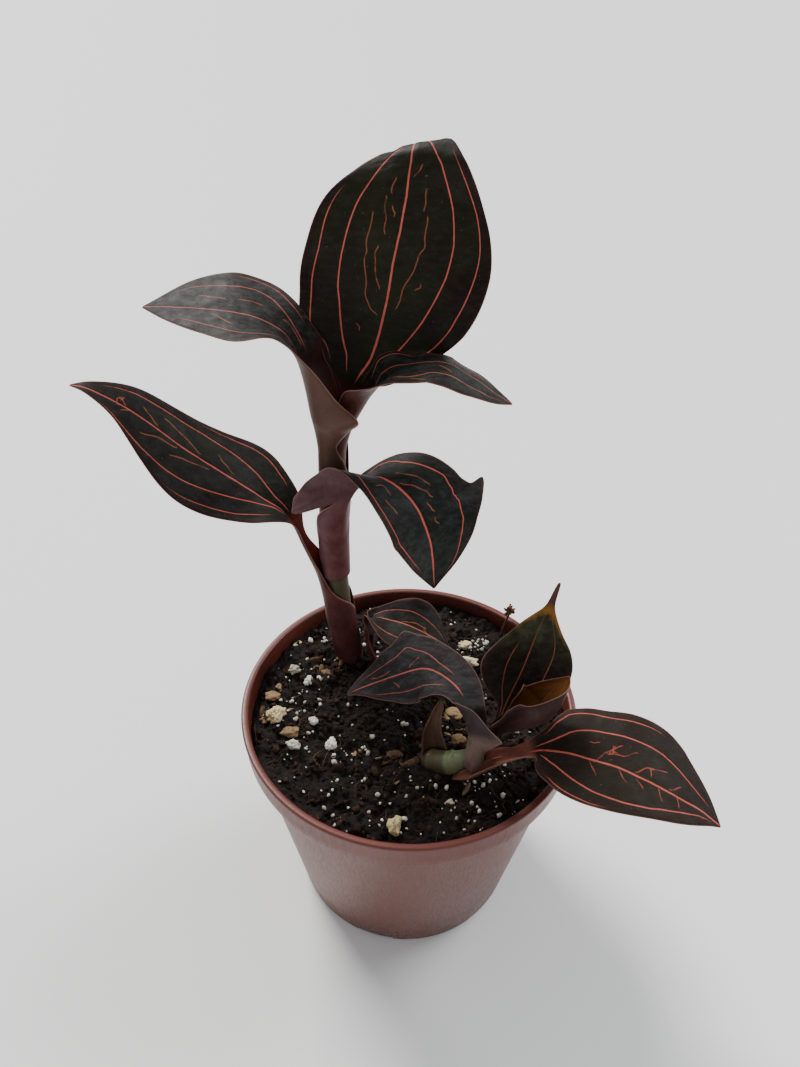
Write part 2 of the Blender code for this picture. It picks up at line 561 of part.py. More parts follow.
         (0.75, 2.2, 3, 10, 10, 50, 50, 0, 0),
         (1.00, 1.2, 1.6, 0, 0, 40, 40, 0, 0)],
        None),
    "back_young_leaf": (
        [(30.0, -16.0, 95.0), (32.5, -13.0, 103), (37.0, -9.5, 116), (41.1, -6, 131.6),
         (43.9, -4, 139.9), (46.3, -2, 147.4)],
        [(0, -0.1, -1, 0.2), (0.5, -0.1, -1, 0.3), (1, -0.1, -1, 0.3)],
        [(0.00, 2, 2, 0, 0, 60, 60, 0, 0),
         (0.15, 4, 4, 10, 10, 50, 50, 0, 0),
         (0.28, 12, 14, 20, 20, 10, 10, 0, 0),
         (0.45, 16, 17, 15, 15, 10, 10, 0, 0),
         (0.62, 14, 14, 10, 10, 10, 10, 0, 0),
         (0.76, 7, 6, 10, 10, 20, 20, 0, 0),
         (0.86, 2.2, 2.2, 10, 10, 60, 60, 0, 0),
         (1.00, 0.5, 0.5, 0, 0, 0, 0, 0, 0)],
        None),
    "rolled_young_leaf": (
        [(29.9, -22.2, 95.5), (32.8, -24.3, 103), (36.7, -25.3, 111), (41.3, -25.0, 117),
         (49.5, -21.5, 126.0)],
        [(0, -0.7, 0.3, 0.8), (0.5, -0.7, 0.3, 0.9), (1, -0.5, 0.2, 1)],
        [(0.00, 8, 8, 0, 0, 150, 150, 0, 0),
         (0.35, 12, 12, 0, 0, 150, 150, 0, 0),
         (0.60, 13, 13, 0, 0, 120, 120, 0, 0),
         (0.80, 9, 9, 0, 0, 90, 90, 0, 0),
         (1.00, 0.5, 0.5, 0, 0, 20, 20, 0, 0)],
        None),
}

LEAF_PAINTS = {"back_young_leaf": YOUNG_PAINT, "rolled_young_leaf": YOUNG_PAINT,
               "old_leaf_sheath": DRY_PAINT}
for leaf_name, (midrib, facing, stations, hug) in LEAVES.items():
    leaf(leaf_name, midrib, facing, stations, hug, LEAF_PAINTS.get(leaf_name, LEAF_PAINT))


def resting_height(tree, outline, centre):
    """Height that leaves the gap under the lowest touching point of a lump."""
    needed = []
    for point in outline:
        start = Vector((centre[0] + point[0], centre[1] + point[1], 200.0)) * MM
        place = tree.ray_cast(start, Vector((0.0, 0.0, -1.0)))[0]
        if place is not None:
            needed.append(place.z / MM - point[2])
    return max(needed) + GAP


def lump(name, centre, size, seed, tree, paint):
    """Broken crumb: a ball pulled to its three sizes, with every corner pushed a little."""
    work = bmesh.new()
    bmesh.ops.create_icosphere(work, subdivisions=2, radius=1.0)
    corners = np.array([corner.co for corner in work.verts])
    faces = [[corner.index for corner in face.verts] for face in work.faces]
    work.free()
    dice = np.random.default_rng(seed)
    corners *= 1.0 + 0.16 * dice.standard_normal((len(corners), 1)).clip(-1.5, 1.5)
    corners *= np.asarray(size, float)
    turn = dice.uniform(0.0, math.pi)
    spin = np.array([[math.cos(turn), math.sin(turn), 0.0],
                     [-math.sin(turn), math.cos(turn), 0.0], [0.0, 0.0, 1.0]])
    corners = corners @ spin
    height = resting_height(tree, corners, centre)
    return add_piece(name, corners + [centre[0], centre[1], height], faces, paint)


# Perlite and bark big enough to pick up: place on the soil and half sizes.
PERLITE = (
    (-47.5, -5.0, 4.6, 2.8, 2.4), (-43.5, 17.0, 2.6, 2.0, 1.7), (-44.0, 31.0, 2.2, 1.8, 1.5),
    (-37.5, 11.5, 2.0, 1.8, 1.5), (-34.0, -8.0, 2.2, 1.8, 1.5), (-27.0, -16.5, 2.4, 1.9, 1.6),
    (-40.0, -18.5, 2.3, 1.9, 1.6), (22.5, 31.5, 2.7, 2.2, 1.8), (23.0, 22.5, 3.4, 1.9, 1.6),
    (30.0, 33.0, 2.2, 1.8, 1.5), (36.5, -8.5, 2.4, 2.0, 1.6), (-4.5, -48.5, 3.2, 2.4, 1.8))
BARK = (
    (-42.5, -12.0, 3.2, 2.0, 1.1), (-50.0, 4.5, 3.0, 1.8, 1.0), (-30.5, 14.5, 3.0, 1.8, 1.0),
    (16.5, -3.0, 3.6, 2.2, 1.2), (17.5, -14.5, 3.2, 1.8, 1.1), (-5.0, -21.0, 2.8, 1.8, 1.0))

soil_tree = BVHTree.FromObject(soil, bpy.context.evaluated_depsgraph_get())
for number, (x, y, *size) in enumerate(PERLITE, 1):
    lump(f"perlite_{number:02d}", (x, y), size, 40 + number, soil_tree, PERLITE_PAINT)
for number, (x, y, *size) in enumerate(BARK, 1):
    lump(f"bark_chip_{number}", (x, y), size, 80 + number, soil_tree, BARK_PAINT)

# Dried sprig: a thin stalk with a shrivelled head, near the back right of the rim.
SPRIG_FOOT = (37.2, 39.5)
foot = resting_height(soil_tree, [(0.0, 0.0, 0.0)], SPRIG_FOOT) + 0.3
tube("dried_sprig", [(SPRIG_FOOT[0], SPRIG_FOOT[1], foot), (37.7, 40.0, foot + 3.5),
                     (38.7, 41.0, foot + 7.0), (39.4, 41.6, foot + 9.5),
                     (40.0, 42.0, foot + 12.0), (40.4, 42.2, foot + 14.0)],
     (0.6, 0.45, 0.5, 1.7, 1.9, 0.5), DRY_PAINT, 14, 10)
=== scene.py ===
"""Potted jewel orchid: a plastic grow pot, its soil, and two shoots of dark velvety leaves.

Tables are in millimetres. The origin is the middle of the pot's underside, +Z is up,
+X is to the right and +Y is away from the viewer.
"""

import math

import bpy
import numpy as np
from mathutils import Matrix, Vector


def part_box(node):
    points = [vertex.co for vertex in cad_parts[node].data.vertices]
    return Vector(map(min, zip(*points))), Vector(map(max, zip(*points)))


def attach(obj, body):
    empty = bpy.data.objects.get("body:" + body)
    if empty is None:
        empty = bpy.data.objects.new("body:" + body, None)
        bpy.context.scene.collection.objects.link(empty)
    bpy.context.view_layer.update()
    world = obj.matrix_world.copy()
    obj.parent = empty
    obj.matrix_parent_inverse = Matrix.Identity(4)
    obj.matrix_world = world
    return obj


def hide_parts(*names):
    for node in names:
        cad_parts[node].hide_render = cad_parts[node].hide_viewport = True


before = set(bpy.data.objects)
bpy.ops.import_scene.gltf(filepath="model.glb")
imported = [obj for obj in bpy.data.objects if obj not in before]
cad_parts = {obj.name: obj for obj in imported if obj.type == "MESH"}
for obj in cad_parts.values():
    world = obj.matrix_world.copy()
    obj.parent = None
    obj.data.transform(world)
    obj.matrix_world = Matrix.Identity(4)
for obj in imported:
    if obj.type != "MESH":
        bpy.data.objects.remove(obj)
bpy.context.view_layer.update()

# The pot is one thin injection-moulded shell of terracotta-brown plastic. It has a straight
# collar under a rounded rim, a raised floor with drain holes, and a notched foot ring.
# It stands on its own foot and everything else is planted in it.
MM = 0.001
POT_SIDES = 216
POT_OUTLINE = (
    (0.0, 0.0), (6.0, 0.0), (11.5, 0.0), (12.0, 0.4), (12.0, 2.2), (24.0, 2.2), (39.0, 2.2),
    (39.2, 0.3), (39.5, 0.0), (40.5, 0.0), (41.6, 0.0), (42.5, 0.15), (43.0, 0.5), (43.2, 1.2),
    (45.5, 15.2), (48.0, 30.2), (50.5, 45.2), (53.0, 61.0), (55.0, 73.5), (55.8, 78.5),
    (56.0, 79.1), (56.6, 79.4), (58.4, 79.5), (58.9, 79.7), (59.1, 80.2), (59.3, 83.0),
    (59.5, 86.0), (59.75, 88.6), (59.85, 89.4), (59.6, 89.9), (59.1, 90.0), (58.2, 90.0),
    (57.6, 89.85), (57.3, 89.3), (57.1, 85.0), (56.8, 80.3), (55.4, 79.3), (54.4, 78.3),
    (50.5, 53.0), (46.5, 30.0), (42.3, 6.5), (41.6, 4.6), (40.6, 4.1), (20.0, 4.0), (0.0, 4.0))


def shade(red, green, blue):
    """Linear colour of a screen colour given as three values from 0 to 255."""
    part = np.array([red, green, blue]) / 255.0
    part = np.where(part <= 0.04045, part / 12.92, ((part + 0.055) / 1.055) ** 2.4)
    return (*part.tolist(), 1.0)


def put_mesh(name, points, face_sets, paint, fields=None, smooth_shaded=True):
    """Mesh from points in millimetres, and arrays of faces with one corner count each.

    `fields` are named numbers, one for each point, that the material can read.
    """
    mesh = bpy.data.meshes.new(name)
    corners = np.concatenate([np.asarray(faces).ravel() for faces in face_sets])
    counts = np.concatenate([np.full(len(faces), np.shape(faces)[1]) for faces in face_sets])
    mesh.vertices.add(len(points))
    mesh.vertices.foreach_set("co", (np.asarray(points, float) * MM).ravel())
    mesh.loops.add(len(corners))
    mesh.loops.foreach_set("vertex_index", corners)
    mesh.polygons.add(len(counts))
    mesh.polygons.foreach_set("loop_start", np.concatenate([[0], np.cumsum(counts)[:-1]]))
    mesh.polygons.foreach_set("use_smooth", np.full(len(counts), smooth_shaded))
    mesh.update(calc_edges=True)
    for field, values in (fields or {}).items():
        layer = mesh.attributes.new(field, "FLOAT", "POINT")
        layer.data.foreach_set("value", np.asarray(values, float).ravel())
    mesh.materials.append(paint)
    piece = bpy.data.objects.new(name, mesh)
    bpy.context.scene.collection.objects.link(piece)
    return piece


def net(rows, columns, wrap=False):
    """Quads of a grid stored row by row; wrap joins the last column to the first."""
    row, column = np.meshgrid(np.arange(rows - 1), np.arange(columns - (not wrap)),
                              indexing="ij")
    beside = (column + 1) % columns
    return np.stack([row * columns + column, row * columns + beside,
                     (row + 1) * columns + beside, (row + 1) * columns + column],
                    axis=-1).reshape(-1, 4)


def add_node(tree, kind, fields=None, sockets=None):
    """Shader node with its own fields set, and inputs set to values or other nodes' outputs."""
    node = tree.nodes.new("ShaderNode" + kind)
    for key, value in (fields or {}).items():
        setattr(node, key, value)
    for key, value in (sockets or {}).items():
        if isinstance(value, bpy.types.NodeSocket):
            tree.links.new(value, node.inputs[key])
        else:
            node.inputs[key].default_value = value
    return node


def mixed(tree, share, first, second, how="MIX"):
    """Colour between two, by share."""
    return add_node(tree, "Mix", {"data_type": "RGBA", "blend_type": how},
                    {0: share, 6: first, 7: second}).outputs[2]


def sums(tree, what, first, second=0.0):
    return add_node(tree, "Math", {"operation": what}, {0: first, 1: second}).outputs[0]


def ramp(tree, value, low, high, bottom=0.0, top=1.0):
    """Value stretched so that low gives bottom and high gives top, and held beyond them."""
    return add_node(tree, "MapRange", {"clamp": True},
                    {0: value, 1: low, 2: high, 3: bottom, 4: top}).outputs[0]


def noise(tree, place, scale, detail=3.0, rough=0.55):
    return add_node(tree, "TexNoise", None, {
        "Vector": place, "Scale": scale, "Detail": detail, "Roughness": rough}).outputs[0]


def stretched(tree, place, x, y, z):
    """Place multiplied along each axis, which draws a pattern out along the small ones."""
    return add_node(tree, "Mapping", None, {"Vector": place, "Scale": (x, y, z)}).outputs[0]


def new_paint(name):
    """Empty material: its node tree, its shader and its object coordinates."""
    paint = bpy.data.materials.new(name)
    paint.use_nodes = True
    tree = paint.node_tree
    place = add_node(tree, "TexCoord").outputs["Object"]
    return paint, tree, tree.nodes["Principled BSDF"], place


def finish_paint(tree, shader, colour, rough, height, depth, normal=None):
    """Join colour, roughness and a height in metres of relief to the shader."""
    tree.links.new(colour, shader.inputs["Base Color"])
    tree.links.new(rough, shader.inputs["Roughness"])
    bump = add_node(tree, "Bump", None, {"Strength": 1.0, "Distance": depth, "Height": height})
    tree.links.new(bump.outputs[0], shader.inputs["Normal"])


def dust_group():
    """Group: a colour with soil dust on it, thicker where noise and a given mask allow."""
    group = bpy.data.node_groups.new("soil_dust", "ShaderNodeTree")
    for label, kind in (("Colour", "NodeSocketColor"), ("Mask", "NodeSocketFloat"),
                        ("Dust", "NodeSocketColor"), ("Amount", "NodeSocketFloat")):
        group.interface.new_socket(label, in_out="INPUT", socket_type=kind)
    group.interface.new_socket("Colour", in_out="OUTPUT", socket_type="NodeSocketColor")
    group.interface.new_socket("Cover", in_out="OUTPUT", socket_type="NodeSocketFloat")
    given = group.nodes.new("NodeGroupInput")
    place = add_node(group, "TexCoord").outputs["Object"]
    specks = ramp(group, noise(group, place, 900.0, 2.0), 0.60, 0.68)
    film = ramp(group, noise(group, place, 120.0, 5.0), 0.45, 0.75, 0.0, 0.5)
    cover = sums(group, "MULTIPLY", sums(group, "MAXIMUM", specks, film), given.outputs["Mask"])
    cover = sums(group, "MULTIPLY", cover, given.outputs["Amount"])
    result = group.nodes.new("NodeGroupOutput")
    colour = mixed(group, cover, given.outputs["Colour"], given.outputs["Dust"])
    group.links.new(colour, result.inputs["Colour"])
    group.links.new(cover, result.inputs["Cover"])
    return group


DUST = dust_group()


def with_dust(tree, colour, mask, amount, dust=shade(42, 30, 24)):
    """Colour with soil dust laid over it, and how much of the surface the dust covers."""
    node = tree.nodes.new("ShaderNodeGroup")
    node.node_tree = DUST
    tree.links.new(colour, node.inputs["Colour"])
    tree.links.new(mask, node.inputs["Mask"])
    node.inputs["Dust"].default_value = dust
    node.inputs["Amount"].default_value = amount
    return node.outputs["Colour"], node.outputs["Cover"]


def plastic_paint():
    """Satin plastic: redder at the rim, faint flow marks down the wall, dust at the foot."""
    paint, tree, shader, place = new_paint("terracotta_plastic")
    height = add_node(tree, "SeparateXYZ", None, {0: place}).outputs[2]
    flow = noise(tree, stretched(tree, place, 1.0, 1.0, 0.06), 90.0, 4.0)
    cloud = noise(tree, place, 28.0, 3.0)
    wall = mixed(tree, ramp(tree, flow, 0.3, 0.7), shade(98, 56, 45), shade(104, 61, 50))
    wall = mixed(tree, ramp(tree, cloud, 0.35, 0.7, 0.0, 0.4), wall, shade(92, 52, 43))
    rim = ramp(tree, height, 0.0782, 0.0802)
    colour = mixed(tree, rim, wall, shade(94, 41, 31))
    foot = ramp(tree, height, 0.022, 0.001)
    colour, cover = with_dust(tree, colour, foot, 0.8)
    inside = ramp(tree, add_node(tree, "Attribute", {"attribute_name": "inside"}).outputs["Fac"],
                  0.4, 0.6)
    colour, more = with_dust(tree, colour, inside, 0.9)
    scuff = noise(tree, stretched(tree, place, 1.0, 1.0, 0.12), 1400.0, 2.0)
    rough = ramp(tree, scuff, 0.35, 0.75, 0.36, 0.50)
    rough = sums(tree, "ADD", rough, sums(tree, "MULTIPLY", sums(tree, "ADD", cover, more), 0.35))
    relief = sums(tree, "ADD", sums(tree, "MULTIPLY", noise(tree, place, 1100.0, 2.0), 0.5), cover)
    finish_paint(tree, shader, colour, rough, relief, 0.00006)
    shader.inputs["Specular IOR Level"].default_value = 0.45
    return paint


def turned_shell(name, outline, sides, paint):
    """Outline of (radius, height) carried round Z; its two ends lie on the axis."""
    turn = np.arange(sides) * 2 * np.pi / sides
    line = np.asarray(outline, float)[1:-1]
    ring = np.stack([line[:, :1] * np.cos(turn), line[:, :1] * np.sin(turn),
                     np.repeat(line[:, 1:], sides, axis=1)], axis=-1).reshape(-1, 3)
    poles = np.array([(0.0, 0.0, outline[0][1]), (0.0, 0.0, outline[-1][1])])
    column = np.arange(sides)
    beside = (column + 1) % sides
    last = (len(line) - 1) * sides
    low = np.stack([np.full(sides, len(ring)), beside, column], axis=1)
    high = np.stack([np.full(sides, len(ring) + 1), last + column, last + beside], axis=1)
    inside = np.concatenate([np.repeat(np.arange(len(line)) > 30, sides), [0.0, 1.0]])
    return put_mesh(name, np.concatenate([ring, poles]), [net(len(line), sides, True), low, high],
                    paint, {"inside": inside})


def cutter(corners, low, high, paint):
    """Upright prism over a flat outline, from one height to another."""
    count = len(corners)
    points = np.concatenate([np.column_stack([corners, np.full(count, z)]) for z in (low, high)])
    caps = np.stack([np.arange(count)[::-1], np.arange(count) + count])
    return put_mesh("cutter", points, [net(2, count, True), caps], paint)


def cut_away(piece, tools):
    """Cut the tools out of the piece and take them away."""
    for tool in tools:
        step = piece.modifiers.new("cut", "BOOLEAN")
        step.operation = "DIFFERENCE"
        step.object = tool
    view = bpy.context.evaluated_depsgraph_get()
    piece.data = bpy.data.meshes.new_from_object(piece.evaluated_get(view))
    piece.modifiers.clear()
    for tool in tools:
        bpy.data.objects.remove(tool, do_unlink=True)


PLASTIC = plastic_paint()
pot = turned_shell("grow_pot", POT_OUTLINE, POT_SIDES, PLASTIC)
round_hole = np.linspace(0.0, 2 * np.pi, 24, endpoint=False)
tools = []
for turn in 2 * np.pi * (np.arange(8) + 0.5) / 8:
    hole = np.column_stack([33.0 * np.cos(turn) + 3.2 * np.cos(round_hole),
                            33.0 * np.sin(turn) + 3.2 * np.sin(round_hole)])
    tools.append(cutter(hole, 1.2, 5.2, PLASTIC))
for turn in 2 * np.pi * (np.arange(6) + 0.25) / 6:
    ahead = np.array([np.cos(turn), np.sin(turn)])
    aside = np.array([-np.sin(turn), np.cos(turn)])
    notch = np.array([35.2 * ahead - 7 * aside, 45.2 * ahead - 7 * aside,
                      45.2 * ahead + 7 * aside, 35.2 * ahead + 7 * aside])
    tools.append(cutter(notch, -1.0, 1.8, PLASTIC))
cut_away(pot, tools)
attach(pot, "root")
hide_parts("pot")


# The soil is a damp peat mix that fills the pot to a finger's width below the rim.
# Its top is crumbly, with peat crumbs, plant fibres, small perlite grains and bark flakes
# lying loose on it.
SOIL_LEVEL = 84.0
SOIL_EDGE = 56.6


def soft_lumps(x, y, cell, seed):
    """Smooth random height: a random value at each corner of a square net, blended between."""
    values = np.random.default_rng(seed).random((128, 128)) - 0.5
    u = np.asarray(x, float) / cell + 64.0
    v = np.asarray(y, float) / cell + 64.0
    i = np.floor(u).astype(int)
    j = np.floor(v).astype(int)
    a = u - i
    b = v - j
    a = a * a * (3 - 2 * a)
    b = b * b * (3 - 2 * b)
    near = values[i % 128, j % 128] * (1 - a) + values[(i + 1) % 128, j % 128] * a
    far = (values[i % 128, (j + 1) % 128] * (1 - a)
           + values[(i + 1) % 128, (j + 1) % 128] * a)
    return near * (1 - b) + far * b


def soil_height(x, y):
    """Broad waves, sunk toward the wall, heaped at the stem and the back, with crumbs on top."""
    waves = (np.sin(0.23 * x + 1.3) * np.cos(0.19 * y + 0.4)
             + 0.6 * np.sin(0.41 * x - 0.33 * y) + 0.5 * np.cos(0.52 * y + 0.11 * x + 2.0))
    share = np.clip(np.hypot(x, y) / 56.0, 0.0, 1.0)
    crumbs = (2.6 * soft_lumps(x, y, 5.2, 3) + 1.7 * soft_lumps(x, y, 2.2, 4)
              + 1.2 * soft_lumps(x, y, 0.95, 5))
    foot = np.exp(-((x + 22.0) ** 2 + (y - 26.0) ** 2) / 110.0)
    return (SOIL_LEVEL + 1.1 * waves * (1 - share ** 6) - 1.2 * share ** 3 + crumbs + 2.0 * foot
            + 1.8 * np.clip(y / 50.0, -0.15, 1.0))


def soil_paint():
    """Near-black peat with browner raised grains and near-black hollows, partly painted shade, and darker
    where it is wet.
    """
    paint, tree, shader, place = new_paint("peat")
    grain = noise(tree, place, 520.0, 6.0, 0.7)
    patch = noise(tree, place, 60.0, 3.0)
    # Low places of the grain relief are near-black: partly the peat's own colour, partly painted shade in
    # the hollows.
    colour = mixed(tree, ramp(tree, grain, 0.42, 0.72), shade(10, 7, 6), shade(46, 31, 23))
    colour = mixed(tree, ramp(tree, patch, 0.4, 0.7, 0.0, 0.6), colour, shade(15, 11, 10))
    rough = ramp(tree, grain, 0.3, 0.7, 0.62, 0.95)
    finish_paint(tree, shader, colour, rough, grain, 0.0009)
    shader.inputs["Specular IOR Level"].default_value = 0.2
    return paint


def unit(vectors):
    return vectors / np.linalg.norm(vectors, axis=-1, keepdims=True)


def ball(level):
    """Corners and faces of a unit ball: an eight-sided block whose faces split in four."""
    corners = np.array([(1, 0, 0), (0, 1, 0), (-1, 0, 0), (0, -1, 0), (0, 0, 1), (0, 0, -1)], float)
    faces = np.array([(0, 1, 4), (1, 2, 4), (2, 3, 4), (3, 0, 4),
                      (1, 0, 5), (2, 1, 5), (3, 2, 5), (0, 3, 5)])
    for _ in range(level):
        edges = np.sort(np.stack([faces, np.roll(faces, -1, axis=1)], axis=-1), axis=-1)
        pairs, where = np.unique(edges.reshape(-1, 2), axis=0, return_inverse=True)
        middle = where.reshape(-1, 3) + len(corners)
        corners = np.concatenate([corners, unit(corners[pairs].mean(axis=1))])
        faces = np.concatenate([
            np.stack([faces[:, 0], middle[:, 0], middle[:, 2]], axis=1),
            np.stack([faces[:, 1], middle[:, 1], middle[:, 0]], axis=1),
            np.stack([faces[:, 2], middle[:, 2], middle[:, 1]], axis=1), middle])
    return corners, faces


def scattered(name, places, sizes, seed, level, paint, broken=0.22):
    """Many loose lumps in one mesh: balls pulled to three sizes, dented and turned at random.

    Each lump's random tone is kept in the field `tone`.
    """
    dice = np.random.default_rng(seed)
    corners, faces = ball(level)
    count = len(places)
    dents = 1.0 + broken * dice.standard_normal((count, len(corners), 1)).clip(-1.6, 1.6)
    body = corners[None] * dents * sizes[:, None, :]
    turns = dice.standard_normal((count, 4)) * [1.0, 0.25, 0.25, 1.0]
    w, x, y, z = (turns / np.linalg.norm(turns, axis=1, keepdims=True)).T
    spin = np.stack([1 - 2 * (y * y + z * z), 2 * (x * y - w * z), 2 * (x * z + w * y),
                     2 * (x * y + w * z), 1 - 2 * (x * x + z * z), 2 * (y * z - w * x),
                     2 * (x * z - w * y), 2 * (y * z + w * x), 1 - 2 * (x * x + y * y)],
                    axis=-1).reshape(-1, 3, 3)
    points = np.einsum("nij,nkj->nki", spin, body) + places[:, None, :]
    shifted = (faces[None] + np.arange(count)[:, None, None] * len(corners)).reshape(-1, 3)
    tone = np.repeat(dice.random(count), len(corners))
    return put_mesh(name, points.reshape(-1, 3), [shifted], paint, {"tone": tone})


def on_soil(count, seed, reach=54.5, clusters=None):
    """Random places on the soil, spread evenly over the disc or gathered round given points."""
    dice = np.random.default_rng(seed)
    radius = reach * np.sqrt(dice.random(count))
    turn = dice.random(count) * 2 * np.pi
    x = radius * np.cos(turn)
    y = radius * np.sin(turn)
    if clusters is not None:
        middle = np.asarray(clusters, float)[dice.integers(0, len(clusters), count)]
        x = middle[:, 0] + middle[:, 2] * dice.standard_normal(count)
        y = middle[:, 1] + middle[:, 2] * dice.standard_normal(count)
        far = np.maximum(np.hypot(x, y) / reach, 1.0)
        x = x / far
        y = y / far
    return x, y, dice


def toned_paint(name, dark, light, spots, rough_low, rough_high, grain, depth):
    """Crumb material: a tone for each lump, with darker pits and spots in it."""
    paint, tree, shader, place = new_paint(name)
    tone = add_node(tree, "Attribute", {"attribute_name": "tone"}).outputs["Fac"]
    fine = noise(tree, place, grain, 4.0, 0.65)
    colour = mixed(tree, tone, dark, light)
    colour = mixed(tree, ramp(tree, fine, 0.52, 0.70, 0.0, 0.8), colour, spots)
    rough = ramp(tree, fine, 0.3, 0.7, rough_low, rough_high)
    finish_paint(tree, shader, colour, rough, fine, depth)
    shader.inputs["Specular IOR Level"].default_value = 0.2
    return paint


SOIL_PAINT = soil_paint()
rings = 150
sides = 460
radius = SOIL_EDGE * (np.arange(1, rings + 1) / rings)
turn = np.arange(sides) * 2 * np.pi / sides
x = radius[:, None] * np.cos(turn)
y = radius[:, None] * np.sin(turn)
top = np.stack([x, y, soil_height(x, y)], axis=-1)
skirt = np.array([(56.2, 80.8), (53.9, 78.0), (41.3, 5.3), (40.4, 4.3)])
wall = np.stack([skirt[:, :1] * np.cos(turn), skirt[:, :1] * np.sin(turn),
                 np.repeat(skirt[:, 1:], sides, axis=1)], axis=-1)
shell = np.concatenate([top, wall]).reshape(-1, 3)
poles = np.array([(0.0, 0.0, float(soil_height(0.0, 0.0))), (0.0, 0.0, 4.3)])
column = np.arange(sides)
beside = (column + 1) % sides
last = (rings + len(skirt) - 1) * sides
caps = np.concatenate([
    np.stack([np.full(sides, len(shell)), column, beside], axis=1),
    np.stack([np.full(sides, len(shell) + 1), last + beside, last + column], axis=1)])
soil = put_mesh("peat_plug", np.concatenate([shell, poles]),
                [net(rings + len(skirt), sides, True)[:, ::-1], caps], SOIL_PAINT)
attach(soil, "root")
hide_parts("soil")

CRUMB_PAINT = toned_paint("peat_crumb", shade(11, 8, 6), shade(60, 40, 29),
                          shade(9, 6, 5), 0.8, 0.98, 1400.0, 0.0006)
x, y, dice = on_soil(2200, 21)
sizes = np.exp(dice.normal(-0.6, 0.45, (2200, 1))) * dice.uniform(0.5, 1.4, (2200, 3))
crumbs = scattered("peat_crumbs", np.column_stack([x, y, soil_height(x, y) + 0.1]),
                   sizes, 22, 1, CRUMB_PAINT, 0.36)
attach(crumbs, "root")

PERLITE_PAINT = toned_paint("perlite_grain", shade(176, 168, 150), shade(226, 222, 212),
                            shade(120, 106, 86), 0.8, 0.95, 1500.0, 0.00025)
PERLITE_CLUSTERS = ((22.0, 28.0, 3.6), (26.0, 33.0, 3.2), (-40.0, 12.0, 6.0), (-34.0, -12.0, 8.0),
                    (-26.0, -26.0, 7.0), (8.0, -34.0, 9.0), (-44.0, 2.0, 4.0), (38.0, -2.0, 5.0),
                    (-12.0, -38.0, 8.0), (26.0, -34.0, 7.0), (-30.0, 34.0, 5.0))
x, y, dice = on_soil(240, 31, 53.5, PERLITE_CLUSTERS)
more_x, more_y, _ = on_soil(130, 33)
x = np.concatenate([x, more_x])
y = np.concatenate([y, more_y])
sizes = np.exp(dice.normal(-0.85, 0.45, (370, 1))) * dice.uniform(0.6, 1.25, (370, 3))
grains = scattered("perlite_grains", np.column_stack([x, y, soil_height(x, y) + 0.35]),
                   sizes, 32, 1, PERLITE_PAINT, 0.2)
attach(grains, "root")

FLAKE_PAINT = toned_paint("bark_flake", shade(70, 50, 36), shade(142, 116, 84),
                          shade(44, 31, 23), 0.75, 0.95, 700.0, 0.0003)
FLAKE_CLUSTERS = ((16.0, 0.0, 4.0), (18.0, -11.0, 3.5), (-6.0, -21.0, 5.0), (-32.0, 19.0, 4.0),
                  (-50.0, -2.0, 4.0), (22.0, 10.0, 5.0), (0.0, -30.0, 12.0), (10.0, 34.0, 8.0))
x, y, dice = on_soil(84, 41, 53.0, FLAKE_CLUSTERS)
sizes = np.exp(dice.normal(-0.15, 0.4, (84, 1))) * np.array([1.5, 0.8, 0.35])
flakes = scattered("bark_flakes", np.column_stack([x, y, soil_height(x, y) + 0.4]),
                   sizes, 42, 1, FLAKE_PAINT, 0.16)
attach(flakes, "root")


def strands(name, starts, headings, lengths, widths, seed, paint, rows=9, sides=5, lift=0.35):
    """Thin curved threads in one mesh; each lies on the soil and arches a little between ends."""
    dice = np.random.default_rng(seed)
    count = len(starts)
    share = np.linspace(0.0, 1.0, rows)[None, :]
    bend = dice.normal(0.0, 1.1, (count, 1)) * share + dice.normal(0.0, 0.5, (count, 1)) * np.sin(
        2 * np.pi * share)
    way = headings[:, None] + bend
    step = lengths[:, None] / (rows - 1)
    x = starts[:, :1] + np.cumsum(np.cos(way) * step, axis=1)
    y = starts[:, 1:2] + np.cumsum(np.sin(way) * step, axis=1)
    far = np.maximum(np.hypot(x, y) / 55.5, 1.0)
    x = x / far
    y = y / far
    arch = lift + dice.random((count, 1)) * 1.6 * np.sin(np.pi * share)
    middle = np.stack([x, y, soil_height(x, y) + arch], axis=-1)
    ahead = np.gradient(middle, axis=1)
    ahead /= np.linalg.norm(ahead, axis=-1, keepdims=True)
    side = np.cross(ahead, [0.0, 0.0, 1.0])
    side /= np.linalg.norm(side, axis=-1, keepdims=True)
    over = np.cross(side, ahead)
    turn = np.arange(sides) * 2 * np.pi / sides
    thin = (widths[:, None] * (1.0 - 0.7 * share ** 3))[..., None, None]
    ring = middle[:, :, None] + thin * (side[:, :, None] * np.cos(turn)[:, None]
                                        + over[:, :, None] * np.sin(turn)[:, None])
    faces = net(rows, sides, True)
    ends = np.stack([np.arange(sides)[::-1], np.arange(sides) + (rows - 1) * sides])
    jump = (np.arange(count) * rows * sides)[:, None, None]
    tone = np.repeat(dice.random(count), rows * sides)
    return put_mesh(name, ring.reshape(-1, 3), [(faces[None, :, ::-1] + jump).reshape(-1, 4),
                                                (ends[None, :, ::-1] + jump).reshape(-1, sides)],
                    paint, {"tone": tone})


FIBRE_PAINT = toned_paint("peat_fibre", shade(28, 20, 16), shade(84, 64, 47),
                          shade(22, 15, 12), 0.7, 0.9, 1200.0, 0.0001)
x, y, dice = on_soil(190, 51)
fibres = strands("peat_fibres", np.column_stack([x, y]), dice.random(190) * 2 * np.pi,
                 dice.uniform(3.0, 11.0, 190), dice.uniform(0.07, 0.19, 190), 52, FIBRE_PAINT)
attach(fibres, "root")


